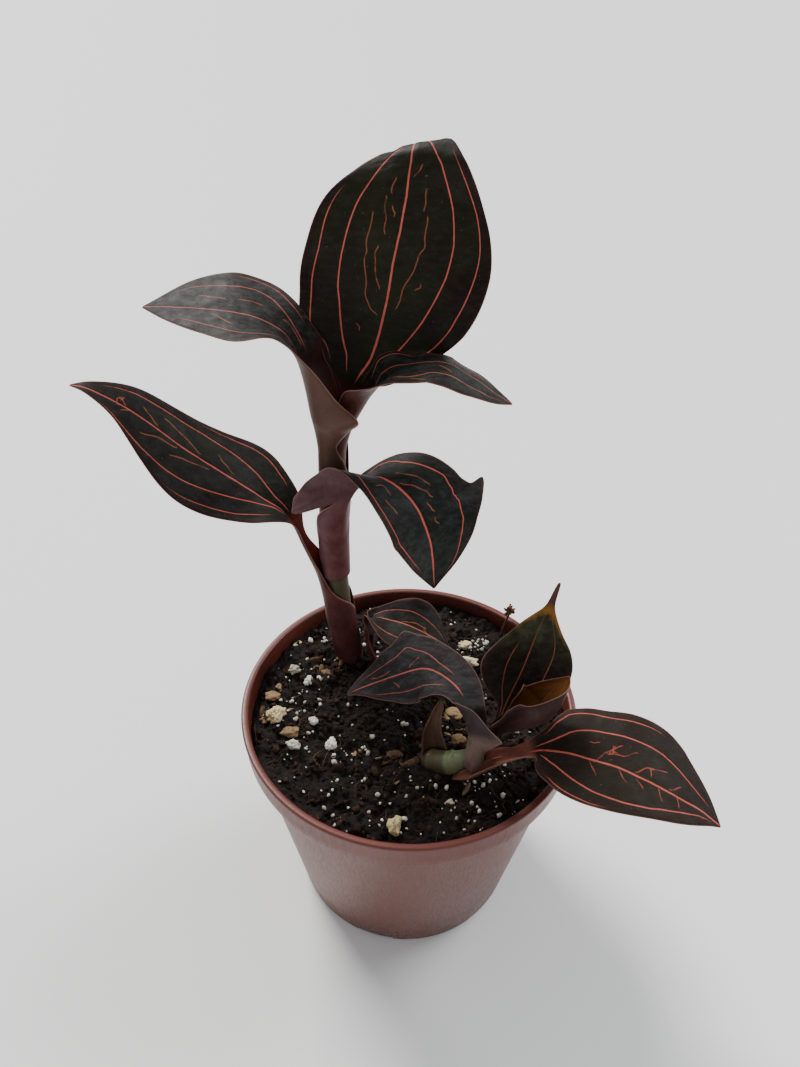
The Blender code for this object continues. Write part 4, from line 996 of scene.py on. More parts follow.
# The lower right leaf clasps the stem higher up. Its sheath is a maroon tube from a ring on
# the stem, its stalk arches over to the right, and its blade hangs with the tip down. One
# big rounded lobe of the blade's foot sweeps back in front of the stem.
LOWER_RIGHT = {
    "midrib": [beside_axis(127.0, 4.9, -20), beside_axis(142.0, 4.9, -25), (-22.4, 20.8, 156.8),
               (-20.8, 19.2, 163.5), (-17, 17, 170.2), (-12, 13.5, 175.6), (-6.8, 10, 175.7),
               (-1.9, 6.5, 173.1), (1.9, 3.5, 168.2), (4.6, 1, 161.3), (6.1, -0.5, 152.6),
               (6.8, -1, 143.5)],
    "facing": [(0, -0.94, 0.34, 0), (0.2, -0.9, 0.42, 0), (0.36, -0.7, 0.5, 0.5),
               (0.46, -0.2, 0.2, 1), (0.65, 0.5, -0.5, 0.8), (0.8, 0.6, -0.7, 0.5),
               (1, 0.5, -0.8, 0.3)],
    "stations": [(0, 13.8, 13.8, 0, 0, 165, 165, 0, 0), (0.19, 14, 14, 0, 0, 165, 165, 0, 0),
                 (0.22, 12.6, 13.8, 0, 0, 142, 155, 0, 0), (0.25, 11, 13, 0, 0, 115, 145, 0, 0),
                 (0.28, 9, 11, 0, 0, 95, 125, 0, 0), (0.31, 7, 8.5, 5, 0, 80, 105, 0, 0),
                 (0.34, 5.5, 6, 10, 0, 60, 80, 0, 0), (0.37, 5, 4.5, 15, 10, 50, 50, 0, -1),
                 (0.39, 5, 7, 20, 20, 45, 30, 0, -6), (0.41, 5.2, 13.5, 20, 27, 38, 18, 0, -15),
                 (0.44, 6.5, 14, 20, 32, 20, 20, 0, -19), (0.49, 9, 13.4, 20, 40, 0, 20, 0, -17.5),
                 (0.54, 12.5, 11.3, 10, 34, 0, 10, 0, -12), (0.61, 16, 11.5, 10, 12, 0, 5, 0, -6),
                 (0.68, 18.2, 14.5, 10, 10, 0, 0, 0, -2), (0.715, 19.6, 15, 8, 10, 0, 0, 0, 0),
                 (0.735, 23, 15, 6, 10, -6, 0, 0, 0), (0.75, 27.5, 15, 6, 10, -8, 0, -2, 0),
                 (0.77, 23, 15, 8, 10, 0, 0, 0, 0), (0.8, 19.6, 13.6, 10, 10, 0, 0, 0, 0),
                 (0.86, 14.6, 10.3, 10, 10, 0, 0, 0, 0), (0.93, 8.8, 5.4, 5, 5, 0, 0, 0, 0),
                 (1, 0.4, 0.4, 0, 0, 0, 0, 0, 0)],
    "hug": [(0, 4.9, 5.1), (0.15, 5.1, 5.6), (0.2, 5.4, 30), (0.3, 5.6, 60), (0.5, 5.6, 60)],
    "veins": [(0, -0.6, -0.3, 0, 0.3, 0.6), (0.42, -0.7, -0.4, 0, 0.3, 0.6),
              (0.5, -0.88, -0.72, 0, 0.5, 0.75), (0.573, -0.9, -0.63, 0, 0.74, 0.9),
              (0.625, -0.93, -0.7, 0, 0.86, 0.95), (0.68, -0.95, -0.78, 0, 0.86, 0.96),
              (0.715, -0.93, -0.725, 0, 0.85, 0.96), (0.735, -0.8, -0.62, 0, 0.84, 0.96),
              (0.75, -0.66, -0.52, 0, 0.83, 0.96), (0.77, -0.78, -0.605, 0, 0.83, 0.96),
              (0.8, -0.9, -0.68, 0, 0.82, 0.96), (0.85, -0.94, -0.69, 0, 0.8, 0.95),
              (0.93, -0.96, -0.8, 0, 0.7, 0.9), (1, -0.9, -0.6, 0, 0.5, 0.8)],
    "reach": [(2, 3), (0.44, 0.97), (0.47, 1.0), (0.50, 0.93), (2, 3)],
    "vein_widths": (0.3, 0.50, 0.95, 0.34, 0.3),
    "veinlets": [[(0.588, -0.26), (0.63, -0.39), (0.675, -0.47)],
                 [(0.62, -0.1), (0.65, -0.22), (0.68, -0.31), (0.705, -0.35)],
                 [(0.715, -0.20), (0.745, -0.20)], [(0.762, -0.16), (0.78, -0.2)],
                 [(0.60, 0.55), (0.60, 0.36), (0.635, 0.40)], [(0.65, 0.60), (0.69, 0.56)]],
    "stalk": (0.33, 0.44), "seed": 111}

lower_right = grow_leaf("lower_right_leaf", LOWER_RIGHT, leaf_paint(
    "lower_right_leaf_skin", {"Sheen_and_bloom": 0.18, "Dark": shade(16, 14, 12), "Green": shade(17, 25, 19)},
    under=shade(88, 63, 66), under_flush=shade(74, 48, 50), stalk=shade(78, 40, 42),
    stalk_flush=shade(98, 66, 66), inner=shade(70, 26, 26)), 250, 15)
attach(lower_right, "root")
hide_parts("right_lower_leaf")


# The upper left leaf's sheath is a wide cone round the stem, open at the front. One side of
# it folds out as a wing below the next leaf, and its blade arches over to the left.
UPPER_LEFT = {
    "midrib": [beside_axis(150.0, 4.3, 180), beside_axis(165.0, 4.3, 180),
               beside_axis(178.0, 4.9, 180), (-33, 26.5, 195), (-35.4, 27, 206.5),
               (-38, 28, 213.5), (-41.6, 29, 217.2), (-48.8, 30, 220), (-57.6, 31, 221.3),
               (-69.2, 33, 221.1), (-82, 35, 220.4)],
    "facing": [(0, 1, 0, 0), (0.25, 1, 0, 0.1), (0.42, 0.9, -0.1, 0.5),
               (0.55, 0.5, -0.2, 1), (0.7, 0, -0.3, 1), (1, 0, -0.3, 1)],
    "stations": [(0, 12.3, 12.3, 0, 0, 164, 164, 0, 0), (0.15, 13, 13, 0, 0, 160, 160, 0, 0),
                 (0.22, 11.5, 12.5, 0, 0, 130, 145, 0, 0), (0.28, 9.5, 12.5, 0, 0, 105, 130, 0, 0),
                 (0.33, 16, 13, 0, 0, 120, 105, 0, 0), (0.37, 22.5, 13.2, 0, 0, 115, 80, 0, 0),
                 (0.44, 16, 12, 10, 8, 80, 50, 0, 0), (0.52, 10.5, 10.8, 25, 18, 40, 30, 0, 0),
                 (0.59, 10, 10, 20, 10, 20, 15, 0, 0), (0.68, 15.2, 16.5, 10, 0, 10, 0, 0, 0),
                 (0.8, 11.3, 17.3, 5, 0, 0, 0, 0, 0), (0.9, 7.2, 12.6, 5, 0, 0, 0, 0, 0),
                 (1, 0.4, 0.4, 0, 0, 0, 0, 0, 0)],
    "hug": [(0, 4.3, 4.35), (0.06, 4.35, 4.45), (0.14, 4.7, 10), (0.3, 5.0, 60)],
    "veins": [(0.0, -0.6, -0.3, 0, 0.3, 0.6), (0.50, -0.6, -0.3, 0, 0.3, 0.6),
              (0.60, -0.85, -0.6, 0, 0.43, 0.8), (0.67, -0.9, -0.62, 0, 0.62, 0.88),
              (0.72, -0.92, -0.65, 0, 0.67, 0.9), (0.79, -0.92, -0.65, 0, 0.62, 0.9),
              (0.90, -0.92, -0.65, 0, 0.70, 0.92), (1.0, -0.9, -0.6, 0, 0.6, 0.9)],
    "reach": [(2, 3), (0.58, 0.93), (0.50, 1.1), (0.52, 0.96), (0.58, 0.84)],
    "vein_widths": (0.24, 0.30, 0.46, 0.32, 0.24),
    "veinlets": [[(0.625, 0.34), (0.557, 0.3)], [(0.745, 0.34), (0.688, 0.35)],
                 [(0.855, 0.38), (0.782, 0.28)], [(0.80, -0.2), (0.74, -0.4)]],
    "stalk": (0.48, 0.60), "seed": 121}

upper_left = grow_leaf("upper_left_leaf_blade", UPPER_LEFT, leaf_paint(
    "upper_left_leaf_skin", {"Sheen_and_bloom": 0.34, "Dark": shade(22, 18, 17), "Green": shade(29, 27, 25),
                             "Vein": shade(168, 88, 78)},
    stalk=shade(84, 57, 50), stalk_flush=shade(76, 57, 44), inner=shade(44, 22, 21)), 240, 15)
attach(upper_left, "root")
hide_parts("upper_left_leaf")


# The upper right leaf comes out of that cone. Its stalk is dark red inside and its narrow
# blade bends over to the right, folded along the middle and twisted toward the tip.
UPPER_RIGHT = {
    "midrib": [beside_axis(169.0, 3.4, 0), beside_axis(178.0, 3.5, 0), (-20.0, 25.2, 187.0),
               (-17.0, 25.0, 193.0), (-13.2, 24.5, 199.5), (-9.8, 23.5, 203.5),
               (-6.8, 22.5, 206.5), (-2.0, 21.5, 209.0), (3.7, 21.5, 210.8), (9.4, 20.0, 210.7),
               (16.0, 19.0, 207.2), (22.7, 18.0, 202.7), (28.0, 18.0, 199.5)],
    "facing": [(0, -1, 0, 0), (0.2, -1, 0, 0.1), (0.35, -0.8, 0.1, 0.6),
               (0.5, -0.2, -0.1, 1), (0.7, 0, -0.2, 1), (1, 0.3, -0.2, 1)],
    "stations": [(0, 10, 10, 0, 0, 165, 165, 0, 0), (0.1, 9, 9.7, 0, 0, 150, 160, 0, 0),
                 (0.18, 6, 9, 0, 0, 100, 150, 0, 0), (0.3, 5, 10, 0, 0, 60, 120, 0, 0),
                 (0.38, 6, 11, 20, 5, 40, 90, 0, 0), (0.42, 7.4, 10.5, 20, 5, 30, 60, 0, 0),
                 (0.46, 9.5, 10.5, 20, 10, 20, 30, 0, 0), (0.56, 10.3, 10, -5, 12, -8, 0, 0, 0),
                 (0.66, 9.8, 10.5, -15, 8, -12, -10, 0, 0),
                 (0.78, 9.3, 10.5, -20, 10, -15, -15, 0, 0),
                 (0.89, 6, 6.8, -10, 10, -10, -10, 0, 0), (1, 0.4, 0.4, 0, 0, 0, 0, 0, 0)],
    "hug": [(0, 3.4, 3.5), (0.12, 3.4, 3.8), (0.2, 3, 60)],
    "veins": [(0.0, -0.6, -0.3, 0, 0.3, 0.6), (0.38, -0.8, -0.5, 0, 0.3, 0.6),
              (0.45, -0.93, -0.86, -0.36, 0.10, 0.7), (0.52, -0.94, -0.86, -0.34, 0.40, 0.85),
              (0.58, -0.93, -0.84, -0.25, 0.62, 0.9), (0.66, -0.92, -0.72, 0, 0.58, 0.9),
              (0.75, -0.92, -0.66, 0, 0.52, 0.9), (0.84, -0.92, -0.64, 0, 0.58, 0.9),
              (1.0, -0.9, -0.6, 0, 0.6, 0.9)],
    "reach": [(2, 3), (0.40, 0.95), (0.40, 1.1), (0.42, 0.97), (2, 3)],
    "vein_widths": (0.24, 0.30, 0.34, 0.34, 0.24),
    "veinlets": [[(0.59, 0.75), (0.628, 0.88)], [(0.70, 0.2), (0.74, 0.34)],
                 [(0.80, -0.2), (0.85, -0.3)]],
    "stalk": (0.34, 0.42), "seed": 131}

# The outer stalk skin is dark red, partly its own colour and partly painted shade under the blade; its
# lighter mauve flush partly stands for painted light on the lit side.
upper_right = grow_leaf("upper_right_leaf_blade", UPPER_RIGHT, leaf_paint(
    "upper_right_leaf_skin", {"Sheen_and_bloom": 0.30, "Dark": shade(20, 18, 16),
                              "Green": shade(28, 31, 26), "Vein": shade(176, 96, 76),
                              "Margin": shade(140, 84, 66)},
    stalk=shade(66, 31, 28), stalk_flush=shade(96, 60, 52), inner=shade(60, 22, 20)), 220, 15)
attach(upper_right, "root")
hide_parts("upper_right_leaf")


# The top leaf is the newest big leaf. It stands almost upright, broad and nearly flat, with
# its tip bent over to the back, and shows the full pattern of veins.
TOP = {
    "midrib": [(-23, 30.9, 188.5), (-21.5, 32.2, 194), (-18.3, 33.5, 199.7), (-15, 35.5, 205),
               (-10.8, 38, 219.7), (-6.8, 42, 238), (-3.4, 45.8, 252), (-1.5, 49.5, 261.5),
               (-0.8, 54, 262.8), (-0.2, 58.5, 260.4), (0.7, 63, 256)],
    "facing": [(0, -0.17, -1, 0), (0.3, -0.1, -1, 0.2), (0.7, 0, -0.9, 0.35),
               (0.85, 0.0, -0.6, 0.8), (1, 0, 0.6, 0.9)],
    "stations": [(0, 2.2, 2.2, 0, 0, 60, 60, 0, 0), (0.06, 3.5, 2.4, 5, 5, 50, 60, 0, 0),
                 (0.11, 9, 4, 10, 10, 30, 50, 0, 0), (0.16, 16.5, 9, 0, 0, 20, 20, 0, 0),
                 (0.22, 21.5, 15, 0, 0, 15, 15, 0, 0), (0.36, 25.5, 26, 0, 8, 10, 10, 0, 0),
                 (0.5, 26, 29, 8, 8, 8, 8, 0, 0), (0.65, 22.4, 25.6, 5, 5, 0, 0, 0, 0),
                 (0.74, 16.4, 20, -2, 0, 0, 0, 0, 0), (0.8, 11.8, 15, -19, 6, 0, 0, 0, 1),
                 (0.85, 7.6, 11.2, -21, 6, 0, 0, 0, 0), (0.89, 5.2, 8.8, -18, 12, 0, 0, 0, 0),
                 (0.94, 4.2, 5, 0, 25, 0, 0, 0, 0), (1, 0.4, 0.4, 0, 0, 0, 0, 0, 0)],
    "veins": [(0.0, -0.6, -0.3, 0, 0.3, 0.6), (0.12, -0.80, -0.34, 0, 0.34, 0.7),
              (0.20, -0.88, -0.40, 0.04, 0.40, 0.78), (0.30, -0.86, -0.48, 0.03, 0.45, 0.82),
              (0.40, -0.86, -0.56, 0.02, 0.50, 0.81), (0.50, -0.85, -0.59, 0, 0.56, 0.84),
              (0.60, -0.88, -0.60, 0, 0.585, 0.87), (0.70, -0.90, -0.62, -0.03, 0.57, 0.88),
              (0.80, -0.93, -0.66, -0.10, 0.50, 0.83), (0.90, -0.95, -0.70, -0.30, 0.20, 0.8),
              (1.0, -0.9, -0.6, -0.2, 0.2, 0.7)],
    "reach": [(0.13, 0.70), (0.12, 0.90), (0.10, 1.1), (0.12, 1.0), (0.12, 0.86)],
    "vein_widths": (0.34, 0.42, 0.66, 0.44, 0.34),
    "veinlets": [[(0.63, -0.38), (0.545, -0.34), (0.505, -0.32), (0.422, -0.25), (0.37, -0.19),
                  (0.345, -0.07)],
                 [(0.682, -0.3), (0.63, -0.22), (0.585, -0.17)],
                 [(0.542, -0.21), (0.5, -0.21), (0.427, -0.1)], [(0.728, 0.23), (0.677, 0.21)],
                 [(0.657, 0.26), (0.588, 0.28), (0.542, 0.25), (0.455, 0.18), (0.38, 0.14)],
                 [(0.76, 0.04), (0.79, 0.14)], [(0.448, 0.3), (0.463, 0.34)],
                 [(0.297, -0.26), (0.283, -0.22)], [(0.64, -0.12), (0.66, -0.16)],
                 [(0.70, -0.26), (0.74, -0.28)]],
    "stalk": (0.06, 0.13), "seed": 141}

top_leaf = grow_leaf("top_leaf_blade", TOP, leaf_paint(
    "top_leaf_skin", {"Dark": shade(25, 16, 12), "Green": shade(30, 31, 16), "Sheen_and_bloom": 0.08,
                      "Vein": shade(198, 94, 84)}), 300, 24)
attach(top_leaf, "root")
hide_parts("top_leaf")


# The basal leaf is a small round one that rises from the soil behind the main stem's foot.
BASAL = {
    "midrib": [(-13.5, 21.0, 85.5), (-15.5, 22.5, 90.0), (-16.8, 26, 95), (-16.4, 28, 100),
               (-12.9, 28, 102.5), (-7.5, 25.5, 104), (-2.3, 22.5, 105), (2.9, 20.5, 104),
               (8.6, 19.5, 101), (12, 19.5, 98), (16, 20.5, 93.0)],
    "facing": [(0, 1, 0.5, 0.2), (0.3, 1, 0, 0.4), (0.5, 0, -0.2, 1), (1, 0.3, -0.2, 1)],
    "stations": [(0, 2.5, 3, 20, 20, 60, 60, 0, 0), (0.2, 2, 4, 20, 20, 60, 60, 0, 0),
                 (0.34, 3.8, 9, 20, 20, 40, 40, 0, 0), (0.46, 7.5, 10, 20, 20, 10, 10, 0, 0),
                 (0.62, 11.5, 12, 10, 10, 0, 0, 0, 0), (0.8, 10.5, 10, 0, 0, 0, 0, 0, 0),
                 (0.92, 5, 5, 0, 0, 0, 0, 0, 0), (1, 0.4, 0.4, 0, 0, 0, 0, 0, 0)],
    "veins": [(0.0, -0.6, -0.3, 0, 0.3, 0.6), (0.34, -0.7, -0.36, 0.1, 0.6, 0.9),
              (0.42, -0.8, -0.52, 0.05, 0.82, 0.95), (0.52, -0.85, -0.50, 0, 0.68, 0.9),
              (0.62, -0.85, -0.49, 0, 0.58, 0.9), (0.80, -0.85, -0.41, 0, 0.5, 0.9),
              (1.0, -0.8, -0.4, 0, 0.4, 0.8)],
    "reach": [(2, 3), (0.34, 0.97), (0.32, 1.1), (0.40, 0.95), (2, 3)],
    "vein_widths": (0.3, 0.22, 0.44, 0.24, 0.3),
    "veinlets": [[(0.575, -0.05), (0.635, -0.14), (0.728, -0.16)], [(0.73, -0.06), (0.802, 0.11)]],
    "stalk": (0.22, 0.34), "seed": 151}

basal = grow_leaf("basal_leaf_blade", BASAL, leaf_paint(
    "basal_leaf_skin", {"Vein": shade(172, 84, 76)}, under=shade(88, 44, 46),
    stalk=shade(86, 36, 38), inner=shade(78, 30, 32)), 150, 9)
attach(basal, "root")
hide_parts("basal_leaf")


# The second shoot creeps out of the soil as a short olive-green stem with a cut pale stub,
# then stands up inside the sheaths of its own leaves.
SIDE_PLACES = ((2.0, -16.0, 76.0), (8.0, -22.0, 83.0), (14.0, -25.5, 87.0),
               (19.0, -25.5, 89.3), (22.5, -24.2, 92.0), (24.6, -22.8, 95.0))
side_stem = stem("side_stem_rod", SIDE_PLACES, (3.2, 3.8, 3.9, 3.2, 2.0, 1.7),
                 ((0.36, 0.5, 0.02), (0.62, 0.35, 0.02)),
                 stem_paint("side_stem_skin", shade(80, 66, 46), shade(74, 70, 44),
                            shade(110, 122, 82), 0.30, 0.54), 90, 40)
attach(side_stem, "root")
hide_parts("side_stem")


# The front leaf of the second shoot arches over the soil to the left, folded into a ridge,
# with its tip pointing down. Its near edge is gathered in at the foot like a boat.
FRONT = {
    "midrib": [(18.6, -28.5, 90), (18.9, -27.8, 95.5), (19.4, -25.5, 101), (19.4, -20.5, 105),
               (17.2, -13.2, 107), (12.4, -6.2, 107.4), (5.4, -1.9, 107.2), (-4.6, -1.8, 103.5),
               (-11.2, -2.4, 100.5), (-17.9, -2.6, 97.2), (-22, -3, 94.5)],
    "facing": [(0, 1, 0.1, 0), (0.14, 1, 0.1, 0.1), (0.2, 0.9, 0, 0.4), (0.3, 0.3, 0, 1),
               (0.4, 0.1, -0.2, 1), (1, -0.3, -0.2, 1)],
    "stations": [(0, 9, 9, 0, 0, 150, 150, 0, 0), (0.12, 9.5, 9, 0, 0, 145, 150, 0, 0),
                 (0.155, 13, 9, 0, 0, 105, 130, 0, 0), (0.188, 23, 8.5, 0, 0, 58, 100, 0, 0),
                 (0.225, 16, 7, 0, 10, 60, 50, 1, 0), (0.265, 9, 6, 0, 20, 50, 20, 1, 0),
                 (0.31, 6, 6.8, 5, 10, 20, 0, 0, 0), (0.37, 6, 8, 5, 10, 0, 0, 0, 0),
                 (0.46, 10, 9.5, 5, 5, 0, 0, 0, 0), (0.55, 11.5, 10.8, 0, 0, 0, 0, 0, 0),
                 (0.62, 12, 13.5, 0, 0, 0, 0, 0, 0), (0.66, 12, 15.8, 0, 0, 0, 0, 0, 0),
                 (0.7, 11.5, 13.6, 0, 0, 0, 0, 0, 0), (0.78, 9, 10.6, 0, 0, 0, 0, 0, 0),
                 (0.9, 4, 5.4, 0, 0, 0, 0, 0, 0), (1, 0.4, 0.4, 0, 0, 0, 0, 0, 0)],
    "veins": [(0.0, -0.6, -0.3, 0, 0.3, 0.6), (0.30, -0.6, -0.2, 0.05, 0.3, 0.7),
              (0.44, -0.8, -0.32, 0, 0.26, 0.75), (0.54, -0.85, -0.52, 0, 0.32, 0.8),
              (0.60, -0.87, -0.55, 0, 0.50, 0.85), (0.66, -0.88, -0.58, 0, 0.58, 0.88),
              (0.78, -0.9, -0.66, 0, 0.50, 0.85), (0.85, -0.92, -0.74, 0, 0.55, 0.85),
              (1.0, -0.9, -0.7, -0.1, 0.5, 0.8)],
    "reach": [(2, 3), (0.42, 0.9), (0.34, 1.0), (0.44, 0.95), (2, 3)],
    "vein_widths": (0.3, 0.24, 0.62, 0.30, 0.3),
    "veinlets": [[(0.858, 0.25), (0.81, 0.16), (0.765, 0.2)], [(0.75, -0.24), (0.728, -0.42)],
                 [(0.66, 0.1), (0.62, 0.3)]],
    "stalk": (0.15, 0.20), "seed": 161}

front_leaf = grow_leaf("front_leaf_blade", FRONT, leaf_paint(
    "front_leaf_skin", {"Sheen_and_bloom": 0.22, "Dark": shade(24, 18, 19), "Green": shade(27, 25, 26),
                        "Warm": shade(42, 26, 26), "Vein": shade(158, 80, 72),
                        "Margin": shade(110, 88, 84)}, under=shade(60, 50, 51),
    under_flush=shade(48, 40, 40), stalk=shade(124, 105, 96), stalk_flush=shade(102, 80, 72)), 210, 12)
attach(front_leaf, "root")
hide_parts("front_leaf")


# The low right leaf lies out over the rim on a thin tan stalk. Its blade is flat and glossy,
# with thick coral veins and many short branched veinlets.
LOW_RIGHT = {
    "midrib": [(22.5, -30.7, 88.3), (27, -31, 93), (33, -31.5, 97.5), (42, -30.5, 100.3),
               (49, -33.9, 103.5), (56, -38.4, 106), (63.4, -42.2, 107), (71, -45.6, 106),
               (80, -48.9, 102.9), (90, -51.8, 98.3), (94.5, -53.4, 95.5)],
    "facing": [(0, -0.3, 0.2, 1), (0.3, -0.1, 0, 1), (0.6, 0, -0.1, 1), (1, 0.3, -0.1, 1)],
    "stations": [(0, 5.5, 5.5, 10, 10, 50, 50, 0, 0), (0.1, 5, 5, 15, 15, 45, 45, 0, 0),
                 (0.2, 3.6, 3.6, 25, 25, 40, 40, 0, 0), (0.26, 4.5, 5, 20, 20, 20, 20, 0, 0),
                 (0.3, 7.5, 8, 15, 15, 10, 10, -1, -1), (0.35, 14, 11.5, 8, 8, 5, 5, -4, -1),
                 (0.42, 19, 14.5, 5, 5, 0, 0, -4, 0), (0.5, 21, 15, 0, 0, 0, 0, -2, 0),
                 (0.58, 22.3, 14.5, 0, 0, 0, 0, 0, 0), (0.75, 20.5, 10, 0, 0, 0, 0, 2, 0),
                 (0.9, 11.5, 5, 0, 0, 0, 0, 1, 0), (1, 0.4, 0.4, 0, 0, 0, 0, 0, 0)],
    "veins": [(0.0, -0.6, -0.3, 0, 0.3, 0.6), (0.25, -0.6, -0.3, -0.02, 0.3, 0.6),
              (0.33, -0.85, -0.40, -0.03, 0.40, 0.85), (0.40, -0.89, -0.53, -0.03, 0.50, 0.9),
              (0.46, -0.88, -0.57, -0.03, 0.58, 0.92), (0.53, -0.86, -0.57, -0.04, 0.68, 0.95),
              (0.64, -0.88, -0.57, -0.04, 0.73, 0.95), (0.72, -0.9, -0.59, -0.04, 0.70, 0.95),
              (0.80, -0.92, -0.57, -0.05, 0.55, 0.92), (0.90, -0.92, -0.50, -0.06, 0.34, 0.9),
              (1.0, -0.9, -0.5, -0.05, 0.4, 0.9)],
    "reach": [(0.29, 0.72), (0.26, 0.96), (0.18, 1.1), (0.28, 0.97), (0.36, 0.60)],
    "vein_widths": (0.36, 0.52, 0.74, 0.52, 0.34),
    "veinlets": [[(0.505, -0.09), (0.53, -0.24), (0.57, -0.39)],
                 [(0.532, -0.2), (0.59, -0.26), (0.625, -0.38)],
                 [(0.645, -0.09), (0.685, -0.24), (0.75, -0.34)], [(0.48, 0.0), (0.515, 0.26)],
                 [(0.588, 0.0), (0.618, 0.2)], [(0.458, -0.34), (0.487, -0.36)],
                 [(0.78, -0.1), (0.815, -0.25)], [(0.735, 0.0), (0.755, 0.31)],
                 [(0.81, -0.06), (0.82, 0.26)], [(0.652, 0.01), (0.68, 0.18)],
                 [(0.69, -0.24), (0.70, -0.15)], [(0.55, -0.25), (0.545, -0.36)]],
    "stalk": (0.22, 0.29), "seed": 171}

low_right = grow_leaf("low_right_leaf_blade", LOW_RIGHT, leaf_paint(
    "low_right_leaf_skin", {"Sheen_and_bloom": 0.05, "Dark": shade(30, 20, 14), "Green": shade(34, 26, 16),
                            "Warm": shade(40, 23, 17), "Vein": shade(184, 90, 78),
                            "Thread": shade(160, 74, 60)},
    stalk=shade(110, 78, 62), stalk_flush=shade(96, 60, 50), inner=shade(112, 66, 54),
    inner_flush=shade(100, 54, 46)), 220, 15)
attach(low_right, "root")
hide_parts("right_low_leaf")

LOW_SHEATH = {
    "midrib": [(14.8, -30.4, 85.5), (17, -31.2, 87.2), (20.2, -31.6, 88.9), (23.6, -31.6, 91.7),
               (27.3, -31.4, 94.7), (30.5, -31, 96.1)],
    "facing": [(0, 0, -0.3, 1), (1, 0, -0.3, 1)],
    "stations": [(0, 0.6, 0.8, 0, 0, 60, 60, 0, 0), (0.2, 1.7, 1.7, 0, 0, 60, 60, 0, 0),
                 (0.6, 2.1, 1.9, 0, 0, 60, 60, 0, 0), (1, 1.2, 1.2, 0, 0, 60, 60, 0, 0)],
    "veins": [(0, -0.6, -0.3, 0, 0.3, 0.6), (1, -0.6, -0.3, 0, 0.3, 0.6)],
    "reach": [(2, 3)] * 5, "vein_widths": (0.3,) * 5, "stalk": (1.5, 2), "seed": 176}

low_sheath = grow_leaf("low_right_leaf_sheath", LOW_SHEATH, leaf_paint(
    "low_sheath_skin", stalk=shade(112, 80, 62), stalk_flush=shade(96, 62, 50),
    inner=shade(108, 66, 50), inner_flush=shade(92, 54, 42)), 60, 3)
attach(low_sheath, "root")


# The old sheath is what is left of a dead leaf: a dry, papery brown strip, curled round
# nothing, standing beside the second shoot's node.
DRY_SHEATH = {
    "midrib": [(8.2, -17.2, 84.5), (7.4, -15.2, 91), (8.8, -12.9, 97.5), (10.6, -11.5, 102)],
    "facing": [(0, 0.2, -1, 0.2), (1, 0.2, -1, 0.4)],
    "stations": [(0, 6.2, 6.2, 0, 0, 80, 80, 0, 0), (0.35, 4.8, 4.8, 0, 0, 80, 80, 0, 0),
                 (0.75, 2.4, 2.8, 10, 10, 70, 70, 0, 0), (1, 1, 1.3, 0, 0, 60, 60, 0, 0)],
    "veins": [(0.0, -0.6, -0.3, 0, 0.3, 0.6), (1.0, -0.6, -0.3, 0, 0.3, 0.6)],
    "reach": [(2, 3)] * 5, "vein_widths": (0.3,) * 5, "stalk": (1.5, 2.0), "seed": 181}


def dry_paint(name, ground, flush, streak):
    """Dry tissue: thin, creased lengthways and blotched."""
    paint, tree, shader, place = new_paint(name)
    skin = skin_node(tree, ground, flush, streak)
    crease = noise(tree, stretched(tree, place, 1.0, 1.0, 0.12), 1300.0, 3.0)
    rough = ramp(tree, crease, 0.3, 0.7, 0.65, 0.9)
    finish_paint(tree, shader, skin.outputs["Colour"], rough, crease, 0.0002)
    return paint


DRY_PAINT = dry_paint("dry_sheath_skin", shade(112, 82, 63), shade(88, 58, 44), shade(64, 44, 34))
dry_sheath = grow_leaf("dry_sheath", DRY_SHEATH, DRY_PAINT, 60, 3)
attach(dry_sheath, "root")
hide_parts("old_leaf_sheath")


# The back young leaf stands up behind the rolled one, cupped toward the viewer, and ends in
# a long thin drip tip that is yellowish green with amber edges.
BACK_YOUNG = {
    "midrib": [(30.0, -16.0, 95.0), (32.5, -13.0, 103), (37.0, -9.5, 116), (41.1, -6, 131.6),
               (43.9, -4, 139.9), (46.3, -2, 147.4)],
    "facing": [(0, -0.1, -1, 0.2), (0.5, -0.1, -1, 0.3), (1, -0.1, -1, 0.3)],
    "stations": [(0, 2, 2, 0, 0, 60, 60, 0, 0), (0.15, 4, 4, 10, 10, 50, 50, 0, 0),
                 (0.28, 12, 13.5, 20, 20, 10, 10, 0, 0), (0.45, 15.5, 15.5, 15, 15, 10, 10, 0, 0),
                 (0.56, 12.5, 14.5, 12, 12, 10, 10, 0, 0), (0.64, 9.2, 12, 10, 10, 10, 10, 0, 0),
                 (0.72, 6.5, 8, 10, 10, 15, 15, 0, 0), (0.79, 3.6, 4.5, 10, 10, 20, 20, 0, 0),
                 (0.86, 1.9, 2, 10, 10, 60, 60, 0, 0), (1, 0.4, 0.4, 0, 0, 0, 0, 0, 0)],
    "veins": [(0.0, -0.7, -0.4, 0, 0.4, 0.7), (0.25, -0.8, -0.39, 0, 0.45, 0.8),
              (0.50, -0.82, -0.40, 0, 0.5, 0.85), (0.72, -0.8, -0.42, 0, 0.6, 0.9),
              (1.0, -0.7, -0.4, 0, 0.5, 0.8)],
    "reach": [(2, 3), (0.05, 0.62), (0.05, 0.88), (0.05, 0.84), (2, 3)],
    "vein_widths": (0.3, 0.34, 0.48, 0.38, 0.3), "stalk": (-1.0, -0.9), "seed": 191}


